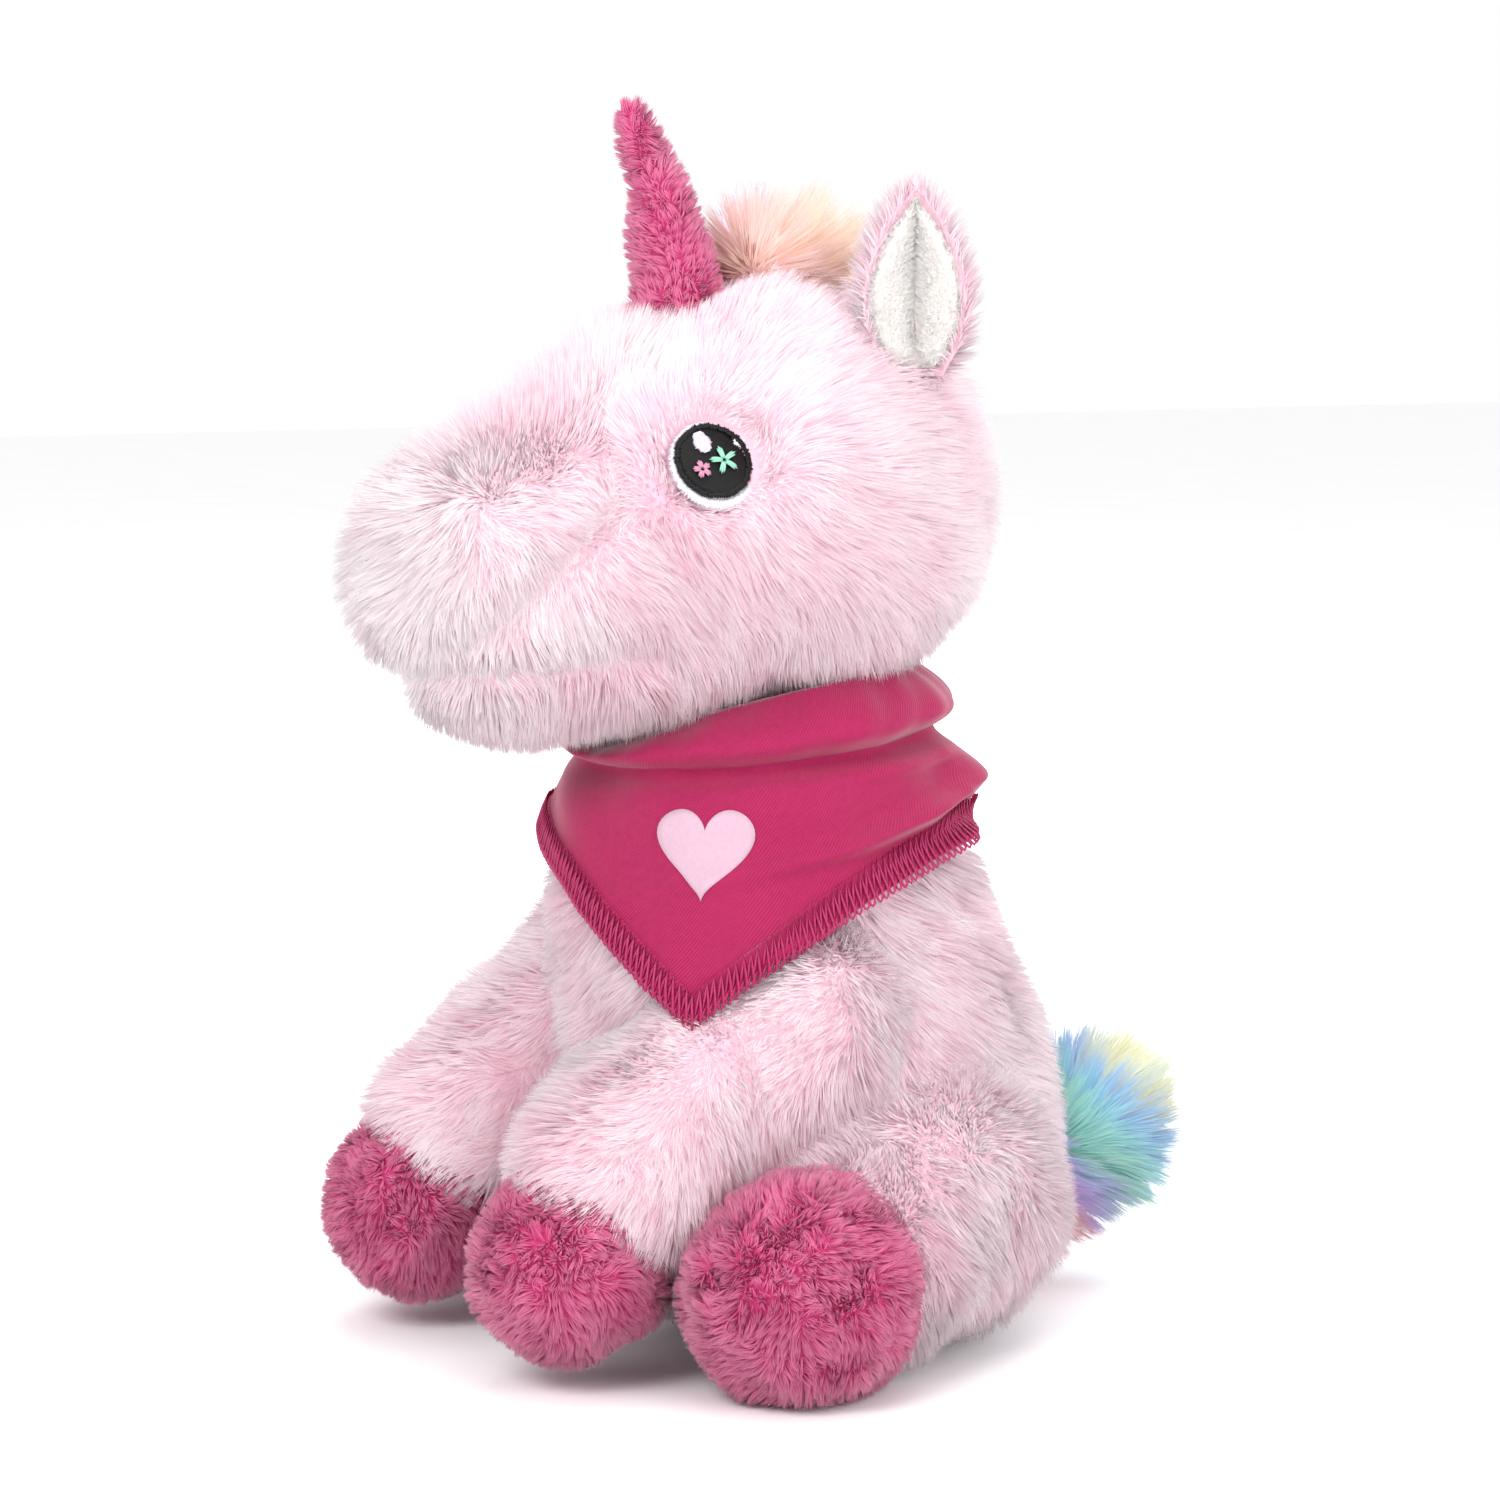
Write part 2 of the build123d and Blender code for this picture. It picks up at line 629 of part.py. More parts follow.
with BuildPart() as bandana_tails:
    tail_face = Plane(
        origin=knot_centre - POINT_WAY, x_dir=FACING_PLANE.x_dir * -1, z_dir=POINT_WAY * -1
    )
    with BuildSketch(tail_face) as tails:
        for side in (-1, 1):
            with BuildLine():
                Polyline(
                    (side * 1.5, -KNOT_RADIUS - SEAM_GAP), (side * 6, -KNOT_RADIUS - SEAM_GAP),
                    (side * 11, -KNOT_TAIL), (side * 3, -KNOT_TAIL * 0.8), close=True,
                )
            make_face()
    extrude(tails.sketch, amount=CLOTH * 1.2)
save(bandana_tails, "bandana_tails")
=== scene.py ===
"""Visual model of a seated plush unicorn with a bandana, on top of its CAD frame.

Every stuffed part is a lumpy skin with a pile of short tapered blades grown on it. Sizes inside the
classes are in millimetres, in the frame's axes: the toy faces -Y, its left side is +X.
"""

import logging
from dataclasses import dataclass
from enum import Enum
from math import acos, atan2, cos, degrees, pi, radians, sin, sqrt
from typing import Callable

import bmesh
import bpy
import numpy as np
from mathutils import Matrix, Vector


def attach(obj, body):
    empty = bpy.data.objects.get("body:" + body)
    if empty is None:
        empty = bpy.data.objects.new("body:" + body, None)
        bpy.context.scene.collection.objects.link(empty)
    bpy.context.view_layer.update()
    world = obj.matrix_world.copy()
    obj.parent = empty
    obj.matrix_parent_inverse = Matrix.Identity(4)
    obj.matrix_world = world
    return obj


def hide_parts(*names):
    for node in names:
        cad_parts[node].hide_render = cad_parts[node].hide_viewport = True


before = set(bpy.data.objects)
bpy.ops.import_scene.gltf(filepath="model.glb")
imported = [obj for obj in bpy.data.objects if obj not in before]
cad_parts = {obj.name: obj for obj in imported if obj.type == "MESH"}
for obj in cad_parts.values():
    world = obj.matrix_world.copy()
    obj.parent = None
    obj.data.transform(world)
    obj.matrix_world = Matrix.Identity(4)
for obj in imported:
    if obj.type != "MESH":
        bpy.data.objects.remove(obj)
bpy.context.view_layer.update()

MM = 0.001
UP = np.array((0.0, 0.0, 1.0))
FLOOR_CLEARANCE = 0.5
log = logging.getLogger("plush_unicorn")

Field = Callable[[np.ndarray], np.ndarray]


# ---------------------------------------------------------------- colours and materials
def srgb(code: str) -> tuple[float, float, float, float]:
    """Turn a six-digit sRGB hex colour into the linear colour that a shader takes."""
    linear = []
    for place in (1, 3, 5):
        share = int(code[place : place + 2], 16) / 255
        linear.append(share / 12.92 if share <= 0.04045 else ((share + 0.055) / 1.055) ** 2.4)
    return (*linear, 1.0)


def add_node(tree: bpy.types.NodeTree, kind: str, inputs: dict | None = None, **settings):
    """Add a node, set its properties, and fill or link its inputs.

    Args:
        tree: The node tree that gets the node.
        kind: The node's Blender type name.
        inputs: Values or output sockets, by input name or number.
        **settings: Properties of the node itself.

    Returns:
        The new node.
    """
    node = tree.nodes.new(kind)
    for name, value in settings.items():
        setattr(node, name, value)
    for name, value in (inputs or {}).items():
        if isinstance(value, bpy.types.NodeSocket):
            tree.links.new(value, node.inputs[name])
        else:
            node.inputs[name].default_value = value
    return node


def mix_colours(tree, factor, first, second) -> bpy.types.NodeSocket:
    """Add a colour mix node. Returns its colour output."""
    return add_node(tree, "ShaderNodeMix", {0: factor, 6: first, 7: second}, data_type="RGBA").outputs[2]


def colour_ramp(tree, factor, stops: tuple[tuple[float, str], ...]) -> bpy.types.NodeSocket:
    """Add a colour ramp through sRGB stops. Returns its colour output."""
    node = add_node(tree, "ShaderNodeValToRGB", {"Fac": factor})
    elements = node.color_ramp.elements
    for element, (position, code) in zip(elements, (stops[0], stops[-1])):
        element.position, element.color = position, srgb(code)
    for position, code in stops[1:-1]:
        elements.new(position).color = srgb(code)
    return node.outputs["Color"]


def noise(tree, place, scale: float, detail: float) -> bpy.types.NodeSocket:
    """Add a noise texture. Returns its number output."""
    inputs = {"Vector": place, "Scale": scale, "Detail": detail}
    return add_node(tree, "ShaderNodeTexNoise", inputs).outputs["Fac"]


def relief(tree, height, strength: float, distance: float) -> bpy.types.NodeSocket:
    """Add a bump node. Returns its normal output."""
    inputs = {"Height": height, "Strength": strength, "Distance": distance}
    return add_node(tree, "ShaderNodeBump", inputs).outputs["Normal"]


def mixed(tree, value, factor: float, extra, clamp: bool = False) -> bpy.types.NodeSocket:
    """Add a node that multiplies a value and adds to it. Returns its number output."""
    inputs = {0: value, 1: factor, 2: extra}
    settings = {"operation": "MULTIPLY_ADD", "use_clamp": clamp}
    return add_node(tree, "ShaderNodeMath", inputs, **settings).outputs[0]


@dataclass(frozen=True)
class Textile:
    """A textile finish. Each kind says what its shader takes."""

    name: str

    def material(self) -> bpy.types.Material:
        """Build the material, or return the one already built."""
        if self.name in bpy.data.materials:
            return bpy.data.materials[self.name]
        material = bpy.data.materials.new(self.name)
        material.use_nodes = True
        tree = material.node_tree
        tree.nodes.clear()
        shader = add_node(tree, "ShaderNodeBsdfPrincipled", self.inputs(tree))
        add_node(tree, "ShaderNodeOutputMaterial", {"Surface": shader.outputs[0]})
        return material


@dataclass(frozen=True)
class PileFinish(Textile):
    """Polyester pile with brushed tips, whose roots are painted darker and warmer as painted shade deep in
    the pile.
    """

    # each stop's root colour is painted shade, darker than its tip colour
    stops: tuple[tuple[float, str, str], ...]  # places along the dye's run, with root and tip colours
    sheen: float = 0.25

    def inputs(self, tree: bpy.types.NodeTree) -> dict:
        """Colours that run along the band, and from the painted shade at the root to the tip."""
        along, shade, band = (
            add_node(tree, "ShaderNodeAttribute", attribute_name=name).outputs["Fac"]
            for name in ("along", "shade", "band")
        )
        shaded_root, tip = (
            colour_ramp(tree, band, tuple((stop[0], stop[column]) for stop in self.stops))
            for column in (1, 2)
        )
        # along is 0 at the root, where the painted shade shows, and 1 at the tip
        share = add_node(tree, "ShaderNodeMath", {0: along, 1: shade}, operation="ADD", use_clamp=True)
        return {
            "Base Color": mix_colours(tree, share.outputs[0], shaded_root, tip),
            "Roughness": 0.75,
            "Sheen Weight": self.sheen,
            "Sheen Roughness": 0.6,
            "Specular IOR Level": 0.15,
        }


@dataclass(frozen=True)
class KnitFinish(Textile):
    """Knitted backing, woven lining or loose fibre: a base colour broken up by soft flecks."""

    dark: str
    light: str
    grain: float  # millimetres across one fleck
    bump: float = 0.3
    sheen: float = 0.3

    def inputs(self, tree: bpy.types.NodeTree) -> dict:
        """Flecks in colour and relief."""
        place = add_node(tree, "ShaderNodeTexCoord").outputs["Object"]
        fleck = noise(tree, place, 1 / (self.grain * MM), 3.0)
        normal = relief(tree, fleck, self.bump, self.grain * MM * 0.3)
        return {
            "Base Color": mix_colours(tree, fleck, srgb(self.dark), srgb(self.light)),
            "Normal": normal,
            "Roughness": 0.9,
            "Sheen Weight": self.sheen,
            "Sheen Roughness": 0.5,
            "Specular IOR Level": 0.2,
        }


@dataclass(frozen=True)
class ThreadFinish(Textile):
    """Twisted polyester embroidery thread with a satin lustre."""

    dark: str
    light: str
    twist: float = 0.35  # millimetres from one turn of the twist to the next
    roughness: float = 0.42

    def inputs(self, tree: bpy.types.NodeTree) -> dict:
        """Strands in colour, under a smooth surface."""
        place = add_node(tree, "ShaderNodeTexCoord").outputs["Object"]
        strand = noise(tree, place, 1 / (self.twist * MM), 1.0)
        return {
            "Base Color": mix_colours(tree, strand, srgb(self.dark), srgb(self.light)),
            "Roughness": self.roughness,
            "Sheen Weight": 0.0,
            "Specular IOR Level": 0.3,
        }


@dataclass(frozen=True)
class TwillFinish(Textile):
    """Dyed cotton twill: fine diagonal ribs crossed by a slight unevenness of the yarn."""

    dark: str
    light: str
    rib: float = 0.55  # millimetres from one rib to the next
    rib_height: float = 0.12

    def inputs(self, tree: bpy.types.NodeTree) -> dict:
        """Ribs and yarn on the piece's own UV map, which is in metres of cloth."""
        cloth = add_node(tree, "ShaderNodeUVMap", uv_map="Cloth").outputs["UV"]
        turned = add_node(
            tree, "ShaderNodeMapping", {"Vector": cloth, "Rotation": (0.0, 0.0, radians(32))}
        )
        rib = add_node(
            tree, "ShaderNodeTexWave",
            {"Vector": turned.outputs[0], "Scale": 0.314 / (self.rib * MM), "Distortion": 0.6,
             "Detail": 1.0, "Detail Scale": 2.0},
            bands_direction="X",
        )
        yarn = noise(tree, cloth, 0.35 / (self.rib * MM), 5.0)
        wear = noise(tree, cloth, 45.0, 2.0)
        ribs = mixed(tree, rib.outputs["Fac"], 0.6, -0.05)
        flecks = mixed(tree, yarn, 0.5, ribs)
        share = mixed(tree, wear, 0.3, flecks, clamp=True)
        normal = relief(tree, flecks, 0.5, self.rib_height * MM)
        return {
            "Base Color": mix_colours(tree, share, srgb(self.dark), srgb(self.light)),
            "Normal": normal,
            "Roughness": 0.85,
            "Sheen Weight": 0.35,
            "Sheen Roughness": 0.4,
            "Specular IOR Level": 0.2,
        }


class Finish(Enum):
    """Every finish of the toy."""

    # in each pile's stops the root colour is painted shade, darker than the tip colour
    # polyester plush, tumbled and brushed, dyed pale pink
    PINK_PILE = PileFinish(
        "polyester_plush_brushed_pale_pink",
        ((0.0, "#f0b9cb", "#fbe4ec"), (1.0, "#f5dbe4", "#fdf4f7")),
    )
    # polyester plush, short and matted, dyed hot pink
    HOT_PILE = PileFinish(
        "polyester_plush_matted_hot_pink",
        ((0.0, "#d0447e", "#ee82ab"), (1.0, "#d0447e", "#ee82ab")),
    )
    # polyester plush, long, space dyed from dusty rose over peach to yellow
    MANE_PILE = PileFinish(
        "polyester_plush_space_dyed_mane",
        ((0.0, "#e2a39c", "#f8d2cb"), (0.3, "#efb294", "#fcd9c0"), (0.6, "#efd09a", "#fbf1be"),
         (0.8, "#f0c3a0", "#fbe2c2"), (1.0, "#eab0ac", "#fad6d0")),
    )
    # polyester plush, long, printed in rainbow bands
    TAIL_PILE = PileFinish(
        "polyester_plush_printed_rainbow",
        ((0.0, "#e6907f", "#f6b9a4"), (0.22, "#e58fa0", "#f0b4bc"), (0.34, "#b48ad0", "#d2b1ea"),
         (0.48, "#9fa0d8", "#bfc3ee"), (0.58, "#7cc4b4", "#a9e2d0"), (0.7, "#80bfd0", "#a5dce4"),
         (0.82, "#7ba4d6", "#9fc4ee"), (0.92, "#dcd9a0", "#f0efc0"), (1.0, "#e8dfa2", "#f8f2c8")),
    )
    # velour, sheared, undyed white
    VELOUR_NAP = PileFinish(
        "polyester_velour_sheared_white",
        ((0.0, "#dcd6d2", "#f7f4f1"), (1.0, "#dcd6d2", "#f7f4f1")),
        sheen=0.4,
    )
    # knitted polyester backing under each pile
    PINK_BACKING = KnitFinish("polyester_knit_backing_pale_pink", "#dfb2c2", "#ecc9d6", 0.9)
    HOT_BACKING = KnitFinish("polyester_knit_backing_hot_pink", "#b32c66", "#cb4a80", 0.9)
    MANE_BACKING = KnitFinish("polyester_knit_backing_peach", "#d99f8c", "#ecc3a4", 0.9)
    VELOUR_BACKING = KnitFinish("polyester_velour_backing_white", "#e0dbd7", "#f3efec", 0.6)
    # carded polyester fibre, blown loose
    FIBRE = KnitFinish("polyester_fibre_carded_white", "#d8d8d6", "#f6f6f4", 2.5, bump=0.8)
    # plain woven cotton bag
    POUCH = KnitFinish("cotton_plain_weave_undyed", "#cfc8b8", "#e6e0d2", 0.5)
    # cotton twill, piece dyed magenta
    BANDANA = TwillFinish("cotton_twill_dyed_magenta", "#800c40", "#a92555")
    # spun polyester sewing thread, dyed magenta
    HEM_THREAD = ThreadFinish("polyester_thread_overlock_magenta", "#8b1044", "#b93068")
    # rubber based screen print, matt
    PRINT = KnitFinish("plastisol_ink_screen_print_pale_pink", "#bd9bad", "#cbabbb", 0.7, bump=0.15)
    # trilobal polyester embroidery thread
    WHITE_THREAD = ThreadFinish("trilobal_thread_satin_white", "#c6c3cd", "#e9e7ee")
    BLACK_THREAD = ThreadFinish("trilobal_thread_satin_black", "#020202", "#0c0c0e", roughness=0.38)
    LILAC_THREAD = ThreadFinish("trilobal_thread_satin_lilac", "#bcb5cc", "#dcd6e6")
    MINT_THREAD = ThreadFinish("trilobal_thread_satin_mint", "#7fc0a6", "#a5dac8")
    ROSE_THREAD = ThreadFinish("trilobal_thread_satin_rose", "#b97898", "#d69cb6")
    # seamless paper backdrop, matt white
    BACKDROP = KnitFinish("paper_backdrop_matt_white", "#f7f7f8", "#fcfcfd", 60.0, bump=0.0, sheen=0.0)


# ---------------------------------------------------------------- vectors and noise
def unit(vectors: np.ndarray) -> np.ndarray:
    """Scale one vector, or each row of vectors, to length one."""
    return vectors / np.maximum(np.linalg.norm(vectors, axis=-1, keepdims=True), 1e-9)


def waves(points: np.ndarray, size: float, seed: int) -> np.ndarray:
    """Smooth noise from about -1 to 1 with features about size millimetres across."""
    rng = np.random.default_rng(seed)
    total = np.zeros(len(points))
    for _ in range(7):
        way = unit(rng.normal(size=3))
        pitch = size * rng.uniform(0.7, 1.7)
        total += np.sin(points @ way * (2 * pi / pitch) + rng.uniform(0, 2 * pi))
    return total / 3


def wander(points: np.ndarray, size: float, seed: int) -> np.ndarray:
    """Smooth noise vectors for points, with features about size millimetres across."""
    return np.stack([waves(points, size, seed + axis) for axis in range(3)], axis=1)


def across(points: np.ndarray, vectors: np.ndarray, normals: np.ndarray) -> np.ndarray:
    """The part of each vector that lies along the surface, as a unit vector."""
    flat = vectors - normals * np.sum(vectors * normals, axis=1, keepdims=True)
    return unit(flat)


# ---------------------------------------------------------------- shapes
@dataclass(frozen=True)
class Pad:
    """The hull of two balls, in millimetres."""

    start: tuple[float, float, float]
    end: tuple[float, float, float]
    start_radius: float
    end_radius: float

    @property
    def axis(self) -> np.ndarray:
        """The unit vector from the start to the end."""
        return unit(np.subtract(self.end, self.start).astype(float))

    @property
    def length(self) -> float:
        """The distance between the balls' centres."""
        return float(np.linalg.norm(np.subtract(self.end, self.start)))

    @property
    def taper(self) -> float:
        """How much the radius shrinks over each millimetre of length."""
        return (self.start_radius - self.end_radius) / self.length

    def grown(self, by: float) -> "Pad":
        """The same pad with both radii changed."""
        return Pad(self.start, self.end, self.start_radius + by, self.end_radius + by)

    def mirrored(self) -> "Pad":
        """The same pad on the toy's other side."""
        flip = lambda point: (-point[0], point[1], point[2])
        return Pad(flip(self.start), flip(self.end), self.start_radius, self.end_radius)

    def along(self, points: np.ndarray) -> np.ndarray:
        """How far along the axis each point lies, from the start."""
        return (points - np.array(self.start)) @ self.axis

    def distance(self, points: np.ndarray) -> np.ndarray:
        """Distance of each point from the surface, negative inside."""
        lean = self.taper
        y = self.along(points)
        x = np.linalg.norm(points - np.array(self.start) - y[:, None] * self.axis, axis=1)
        share = np.clip((y - x * lean / sqrt(1 - lean * lean)) / self.length, 0, 1)
        radius = self.start_radius + (self.end_radius - self.start_radius) * share
        return np.hypot(x, y - share * self.length) - radius

    def spin(self, spacing: float) -> bmesh.types.BMesh:
        """Spin the pad's profile about its axis.

        Args:
            spacing: Millimetres between neighbouring vertices.

        Returns:
            A closed mesh in millimetres, with its normals outwards.
        """
        lean = self.taper
        turn = acos(lean)
        profile = [
            (self.start_radius * cos(a), self.start_radius * sin(a))
            for a in np.linspace(pi, turn, max(6, int((pi - turn) * self.start_radius / spacing)))
        ]
        straight = max(2, int(self.length / spacing))
        rise = sqrt(1 - lean * lean)
        for share in np.linspace(0, 1, straight + 1)[1:-1]:
            radius = self.start_radius + (self.end_radius - self.start_radius) * share
            profile.append((self.length * share + radius * lean, radius * rise))
        profile += [
            (self.length + self.end_radius * cos(a), self.end_radius * sin(a))
            for a in np.linspace(turn, 0, max(6, int(turn * self.end_radius / spacing)))
        ]
        return spin_profile(profile, np.array(self.start), self.axis, spacing)


def spin_profile(profile, origin: np.ndarray, axis: np.ndarray, spacing: float):
    """Spin a profile about an axis.

    Args:
        profile: Pairs of distance along the axis and distance from it, in millimetres.
        origin: Where the axis starts.
        axis: The axis' unit vector.
        spacing: Millimetres between neighbouring vertices at the widest place.

    Returns:
        A mesh in millimetres with its normals outwards.
    """
    side = unit(np.cross(axis, (0.13, 0.0, 1.0) if abs(axis[2]) < 0.9 else (1.0, 0.0, 0.0)))
    bm = bmesh.new()
    line = [bm.verts.new(origin + axis * y + side * x) for y, x in profile]
    edges = [bm.edges.new(pair) for pair in zip(line, line[1:])]
    widest = max(x for _, x in profile)
    bmesh.ops.spin(
        bm, geom=line + edges, cent=Vector(origin), axis=Vector(axis), angle=2 * pi,
        steps=max(12, int(2 * pi * widest / spacing)), use_merge=True,
    )
    bmesh.ops.remove_doubles(bm, verts=bm.verts, dist=spacing * 0.05)
    face_outwards(bm)
    return bm


def move_vertices(bm: bmesh.types.BMesh, shaped: Callable[[np.ndarray, np.ndarray], np.ndarray]) -> None:
    """Move every vertex of a mesh by a function of all points and normals."""
    bm.normal_update()
    points = np.array([v.co for v in bm.verts])
    normals = np.array([v.normal for v in bm.verts])
    for vertex, point in zip(bm.verts, shaped(points, normals)):
        vertex.co = point
    bm.normal_update()


def face_outwards(bm: bmesh.types.BMesh) -> None:
    """Turn the faces of a closed mesh outwards."""
    bm.normal_update()
    bmesh.ops.recalc_face_normals(bm, faces=bm.faces)
    if bm.calc_volume(signed=True) < 0:
        bmesh.ops.reverse_faces(bm, faces=bm.faces)
    bm.normal_update()


def above_floor(points: np.ndarray, rounding: float = 2.0) -> np.ndarray:
    """Press points that would be below the floor up to just above it."""
    low = FLOOR_CLEARANCE + rounding * 0.35
    height = points[:, 2]
    pressed = low + rounding * np.exp(np.minimum(height - low - rounding, 0) / rounding)
    result = points.copy()
    result[:, 2] = np.where(height < low + rounding, pressed, height)
    return result


def make_object(name: str, bm: bmesh.types.BMesh, finish: Enum, body: str) -> bpy.types.Object:
    """Turn a mesh in millimetres into an object that rides on a body.

    Args:
        name: The object's name.
        bm: The mesh, which is freed.
        finish: Its finish.
        body: The CAD body that it moves with.

    Returns:
        The object, at the origin and in metres.
    """
    bmesh.ops.scale(bm, vec=(MM, MM, MM), verts=bm.verts)
    mesh = bpy.data.meshes.new(name)
    bm.to_mesh(mesh)
    bm.free()
    mesh.shade_smooth()
    return place_mesh(name, mesh, finish, body)


def make_skin(name: str, bm: bmesh.types.BMesh, finish: Enum, body: str, fill: float, slot: str,
              *nodes: str) -> bpy.types.Object:
    """Make one stuffed part's skin, or another padded piece, in place of CAD nodes.

    Args:
        name: The object's name.
        bm: The mesh, which is freed.
        finish: Its finish.
        body: The CAD body that it moves with.
        fill: How firmly it is filled, from 0 to 1. Not used.
        slot: The name of a CAD material slot. Not used.
        *nodes: The CAD nodes that it stands for.

    Returns:
        The object.
    """
    skin = make_object(name, bm, finish, body)
    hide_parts(*nodes)
    return skin


def thicken(thing: bpy.types.Object, name: str, thickness: float) -> None:
    """Give a sheet its thickness, in millimetres, with a named modifier."""
    solid = thing.modifiers.new(name, "SOLIDIFY")
    solid.thickness = thickness * MM
    solid.offset = -1


def place_mesh(name: str, mesh: bpy.types.Mesh, finish: Enum, body: str) -> bpy.types.Object:
    """Put a finished mesh into the scene on a body. Returns its object."""
    mesh.materials.append(finish.value.material())
    thing = bpy.data.objects.new(name, mesh)
    bpy.context.scene.collection.objects.link(thing)
    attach(thing, body)
    log.info("%s: %d faces on %s", name, len(mesh.polygons), body)
    return thing


def mesh_from_arrays(name: str, points: np.ndarray, faces: np.ndarray) -> bpy.types.Mesh:
    """Build a mesh from points in millimetres and faces of one size. Returns the mesh."""
    mesh = bpy.data.meshes.new(name)
    mesh.vertices.add(len(points))
    mesh.vertices.foreach_set("co", (points * MM).ravel())
    mesh.loops.add(faces.size)
    mesh.loops.foreach_set("vertex_index", faces.ravel())
    mesh.polygons.add(len(faces))
    mesh.polygons.foreach_set("loop_start", np.arange(0, faces.size, faces.shape[1]))
    mesh.update()
    mesh.shade_smooth()
    return mesh


def add_number(mesh: bpy.types.Mesh, name: str, values: np.ndarray) -> None:
    """Give every vertex one number under a name."""
    mesh.attributes.new(name, "FLOAT", "POINT").data.foreach_set("value", values.astype(np.float32))


# ---------------------------------------------------------------- pile
@dataclass(frozen=True)
class Pile:
    """How a pile stands."""

    length: float  # millimetres
    density: float  # blades to the square millimetre
    width: float  # of one blade at its root, in millimetres
    lean: float  # 0 stands up, 1 lies flat
    clump: float  # millimetres across one clump
    pull: float  # how far a blade's tip is drawn to its clump's, 0 to 1
    unrest: float = 0.35  # how much the lie wanders
    unrest_size: float = 16.0  # millimetres between turns of the lie


LONG_PILE = Pile(7.4, 4.3, 0.34, 0.62, 2.5, 0.45)
SHORT_PILE = Pile(3.0, 7.6, 0.34, 0.5, 2.4, 0.6, 0.9, 7.0)
SHAGGY_PILE = Pile(13.0, 7.0, 0.40, 0.38, 4.0, 0.5, 0.35, 12.0)
TAIL_PILE = Pile(12.5, 5.5, 0.40, 0.45, 3.4, 0.5, 0.3, 12.0)
NAP = Pile(1.3, 14.0, 0.28, 0.4, 1.4, 0.4, 0.5, 5.0)


def blade_template() -> tuple[np.ndarray, np.ndarray]:
    """One blade: a slender three-sided cone without a base.

    Returns:
        Each vertex's place across (two numbers from -1 to 1) and along (0 to 1), and the triangles.
    """
    bm = bmesh.new()
    bmesh.ops.create_cone(bm, segments=3, radius1=1, radius2=0, depth=1, cap_ends=False)
    bmesh.ops.remove_doubles(bm, verts=bm.verts, dist=0.001)
    bmesh.ops.triangulate(bm, faces=bm.faces)
    bmesh.ops.recalc_face_normals(bm, faces=bm.faces)
    bm.verts.index_update()
    places = np.array([(v.co.x, v.co.y, v.co.z + 0.5) for v in bm.verts])
    triangles = np.array([[v.index for v in face.verts] for face in bm.faces])
    bm.free()
    return places, triangles


BLADE_PLACES, BLADE_TRIANGLES = blade_template()


@dataclass
class Skin:
    """A skin's triangles, on which a pile grows."""

    points: np.ndarray
    normals: np.ndarray
    triangles: np.ndarray

    @classmethod
    def of(cls, thing: bpy.types.Object) -> "Skin":
        """Read the triangles of an object's mesh."""
        mesh = thing.data
        mesh.calc_loop_triangles()
        points = np.empty(len(mesh.vertices) * 3)
        normals = np.empty(len(mesh.vertices) * 3)
        triangles = np.empty(len(mesh.loop_triangles) * 3, int)
        mesh.vertices.foreach_get("co", points)
        mesh.vertex_normals.foreach_get("vector", normals)
        mesh.loop_triangles.foreach_get("vertices", triangles)
        return cls(points.reshape(-1, 3) / MM, normals.reshape(-1, 3), triangles.reshape(-1, 3))

    def scatter(self, density: float, rng: np.random.Generator) -> tuple[np.ndarray, np.ndarray]:
        """Scatter roots evenly over the skin.

        Args:
            density: Roots to the square millimetre.
            rng: The seeded source of chance.

        Returns:
            The roots and the skin's normals there.
        """
        a, b, c = (self.points[self.triangles[:, k]] for k in range(3))
        areas = np.linalg.norm(np.cross(b - a, c - a), axis=1) / 2
        count = int(areas.sum() * density)
        chosen = self.triangles[rng.choice(len(areas), count, p=areas / areas.sum())]
        u, v = rng.random((2, count))
        over = u + v > 1
        u[over], v[over] = 1 - u[over], 1 - v[over]
        shares = np.stack((1 - u - v, u, v), axis=1)[:, :, None]
        roots = (self.points[chosen] * shares).sum(axis=1)
        return roots, unit((self.normals[chosen] * shares).sum(axis=1))


def clump_means(keys: np.ndarray, values: np.ndarray) -> np.ndarray:
    """The mean of the values that share a key, for every value."""
    _, group = np.unique(keys, axis=0, return_inverse=True)
    group = group.ravel()
    counts = np.bincount(group)
    means = np.stack([np.bincount(group, values[:, k]) / counts for k in range(3)], axis=1)
    return means[group]


